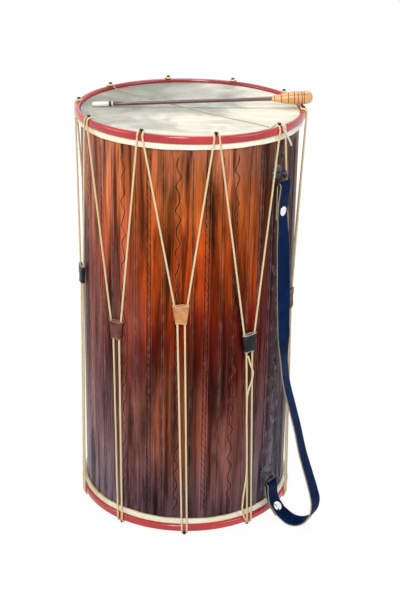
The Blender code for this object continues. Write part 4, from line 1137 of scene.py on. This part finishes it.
def show_white(tree, surface, share):
    """Mixes plain white into a surface for what the camera, gloss and glass see of it."""
    path = tree.nodes.new("ShaderNodeLightPath")
    both = tree.nodes.new("ShaderNodeMath")
    both.operation = "MAXIMUM"
    tree.links.new(path.outputs["Is Camera Ray"], both.inputs[0])
    tree.links.new(path.outputs["Is Glossy Ray"], both.inputs[1])
    every = tree.nodes.new("ShaderNodeMath")
    every.operation = "MAXIMUM"
    tree.links.new(both.outputs[0], every.inputs[0])
    tree.links.new(path.outputs["Is Transmission Ray"], every.inputs[1])
    part = tree.nodes.new("ShaderNodeMath")
    part.operation = "MULTIPLY"
    tree.links.new(every.outputs[0], part.inputs[0])
    if isinstance(share, bpy.types.NodeSocket):
        tree.links.new(share, part.inputs[1])
    else:
        part.inputs[1].default_value = share
    mixer = tree.nodes.new("ShaderNodeMixShader")
    tree.links.new(part.outputs[0], mixer.inputs[0])
    tree.links.new(surface, mixer.inputs[1])
    return mixer


def make_stage():
    bpy.ops.mesh.primitive_plane_add(size=30.0, location=(0.0, 0.0, FLOOR))
    floor = bpy.context.object
    floor.name = "studio_floor"
    paint = bpy.data.materials.new("studio_floor_white")
    paint.use_nodes = True
    tree = paint.node_tree
    shader = tree.nodes["Principled BSDF"]
    shader.inputs["Base Color"].default_value = (0.86, 0.86, 0.87, 1.0)
    shader.inputs["Roughness"].default_value = 0.9
    white = tree.nodes.new("ShaderNodeEmission")
    white.inputs[1].default_value = 1.03
    # Plain white far off, so that only the part's surroundings keep a shadow
    where = tree.nodes.new("ShaderNodeNewGeometry")
    away = tree.nodes.new("ShaderNodeVectorMath")
    away.operation = "LENGTH"
    tree.links.new(where.outputs["Position"], away.inputs[0])
    share = tree.nodes.new("ShaderNodeMapRange")
    for socket, value in zip(("From Min", "From Max", "To Min", "To Max"), (0.6, 2.2, 0.90, 1.0)):
        share.inputs[socket].default_value = value
    tree.links.new(away.outputs["Value"], share.inputs["Value"])
    mixer = show_white(tree, shader.outputs[0], share.outputs["Result"])
    tree.links.new(white.outputs[0], mixer.inputs[2])
    tree.links.new(mixer.outputs[0], tree.nodes["Material Output"].inputs[0])
    floor.data.materials.append(paint)
    world = bpy.data.worlds.new("studio_world")
    bpy.context.scene.world = world
    world.use_nodes = True
    tree = world.node_tree
    sky = tree.nodes["Background"]
    sky.inputs[0].default_value = (0.93, 0.95, 1.0, 1.0)
    sky.inputs[1].default_value = 0.42
    bright = tree.nodes.new("ShaderNodeBackground")
    bright.inputs[0].default_value = (1.0, 1.0, 1.0, 1.0)
    bright.inputs[1].default_value = 1.0
    mixer = show_white(tree, sky.outputs[0], 1.0)
    tree.links.new(bright.outputs[0], mixer.inputs[2])
    tree.links.new(mixer.outputs[0], tree.nodes["World Output"].inputs[0])


def lamp(name, place, aim, size, power, colour=(1.0, 1.0, 1.0)):
    light = bpy.data.lights.new(name, "AREA")
    light.shape = "DISK"
    light.size = size
    light.energy = power
    light.color = colour
    thing = bpy.data.objects.new(name, light)
    bpy.context.scene.collection.objects.link(thing)
    thing.location = place
    thing.rotation_euler = (Vector(aim) - Vector(place)).to_track_quat("-Z", "Y").to_euler()


def make_lights():
    lamp("key", (-0.55, -2.6, 2.3), (0.0, 0.0, 0.45), 1.0, 46.0, (1.0, 0.97, 0.92))
    lamp("fill", (2.3, -1.5, 1.5), (0.0, 0.0, 0.35), 1.6, 20.0, (0.90, 0.94, 1.0))
    lamp("left", (-2.4, -0.6, 1.3), (0.0, 0.0, 0.4), 1.4, 14.0)
    lamp("overhead", (0.1, 0.6, 2.6), (0.0, 0.0, 0.7), 1.2, 22.0)


def make_camera():
    yaw, pitch, roll = 0.02665, 0.40216, 0.01815
    ahead = Vector((sin(yaw) * cos(pitch), cos(yaw) * cos(pitch), -sin(pitch)))
    right = Vector((cos(yaw), -sin(yaw), 0.0))
    upward = right.cross(ahead)
    level = right * cos(roll) + upward * sin(roll)
    steep = upward * cos(roll) - right * sin(roll)
    view = bpy.data.cameras.new("camera")
    view.sensor_fit = "VERTICAL"
    view.sensor_height = 36.0
    view.lens = 78.26
    view.clip_end = 100.0
    thing = bpy.data.objects.new("camera", view)
    bpy.context.scene.collection.objects.link(thing)
    turn = Matrix((level, steep, ahead * -1.0)).transposed().to_4x4()
    thing.matrix_world = Matrix.Translation((-0.03568, -2.18155, 1.29007)) @ turn
    bpy.context.scene.camera = thing


make_camera()
make_rope()
ends_of_rope()
make_snare()
make_shell()
make_ends()
make_tugs()
make_strap()
make_hardware()
make_pins()
make_stick()
dress_hidden()
make_stage()
make_lights()
bpy.context.scene.view_settings.view_transform = "Standard"
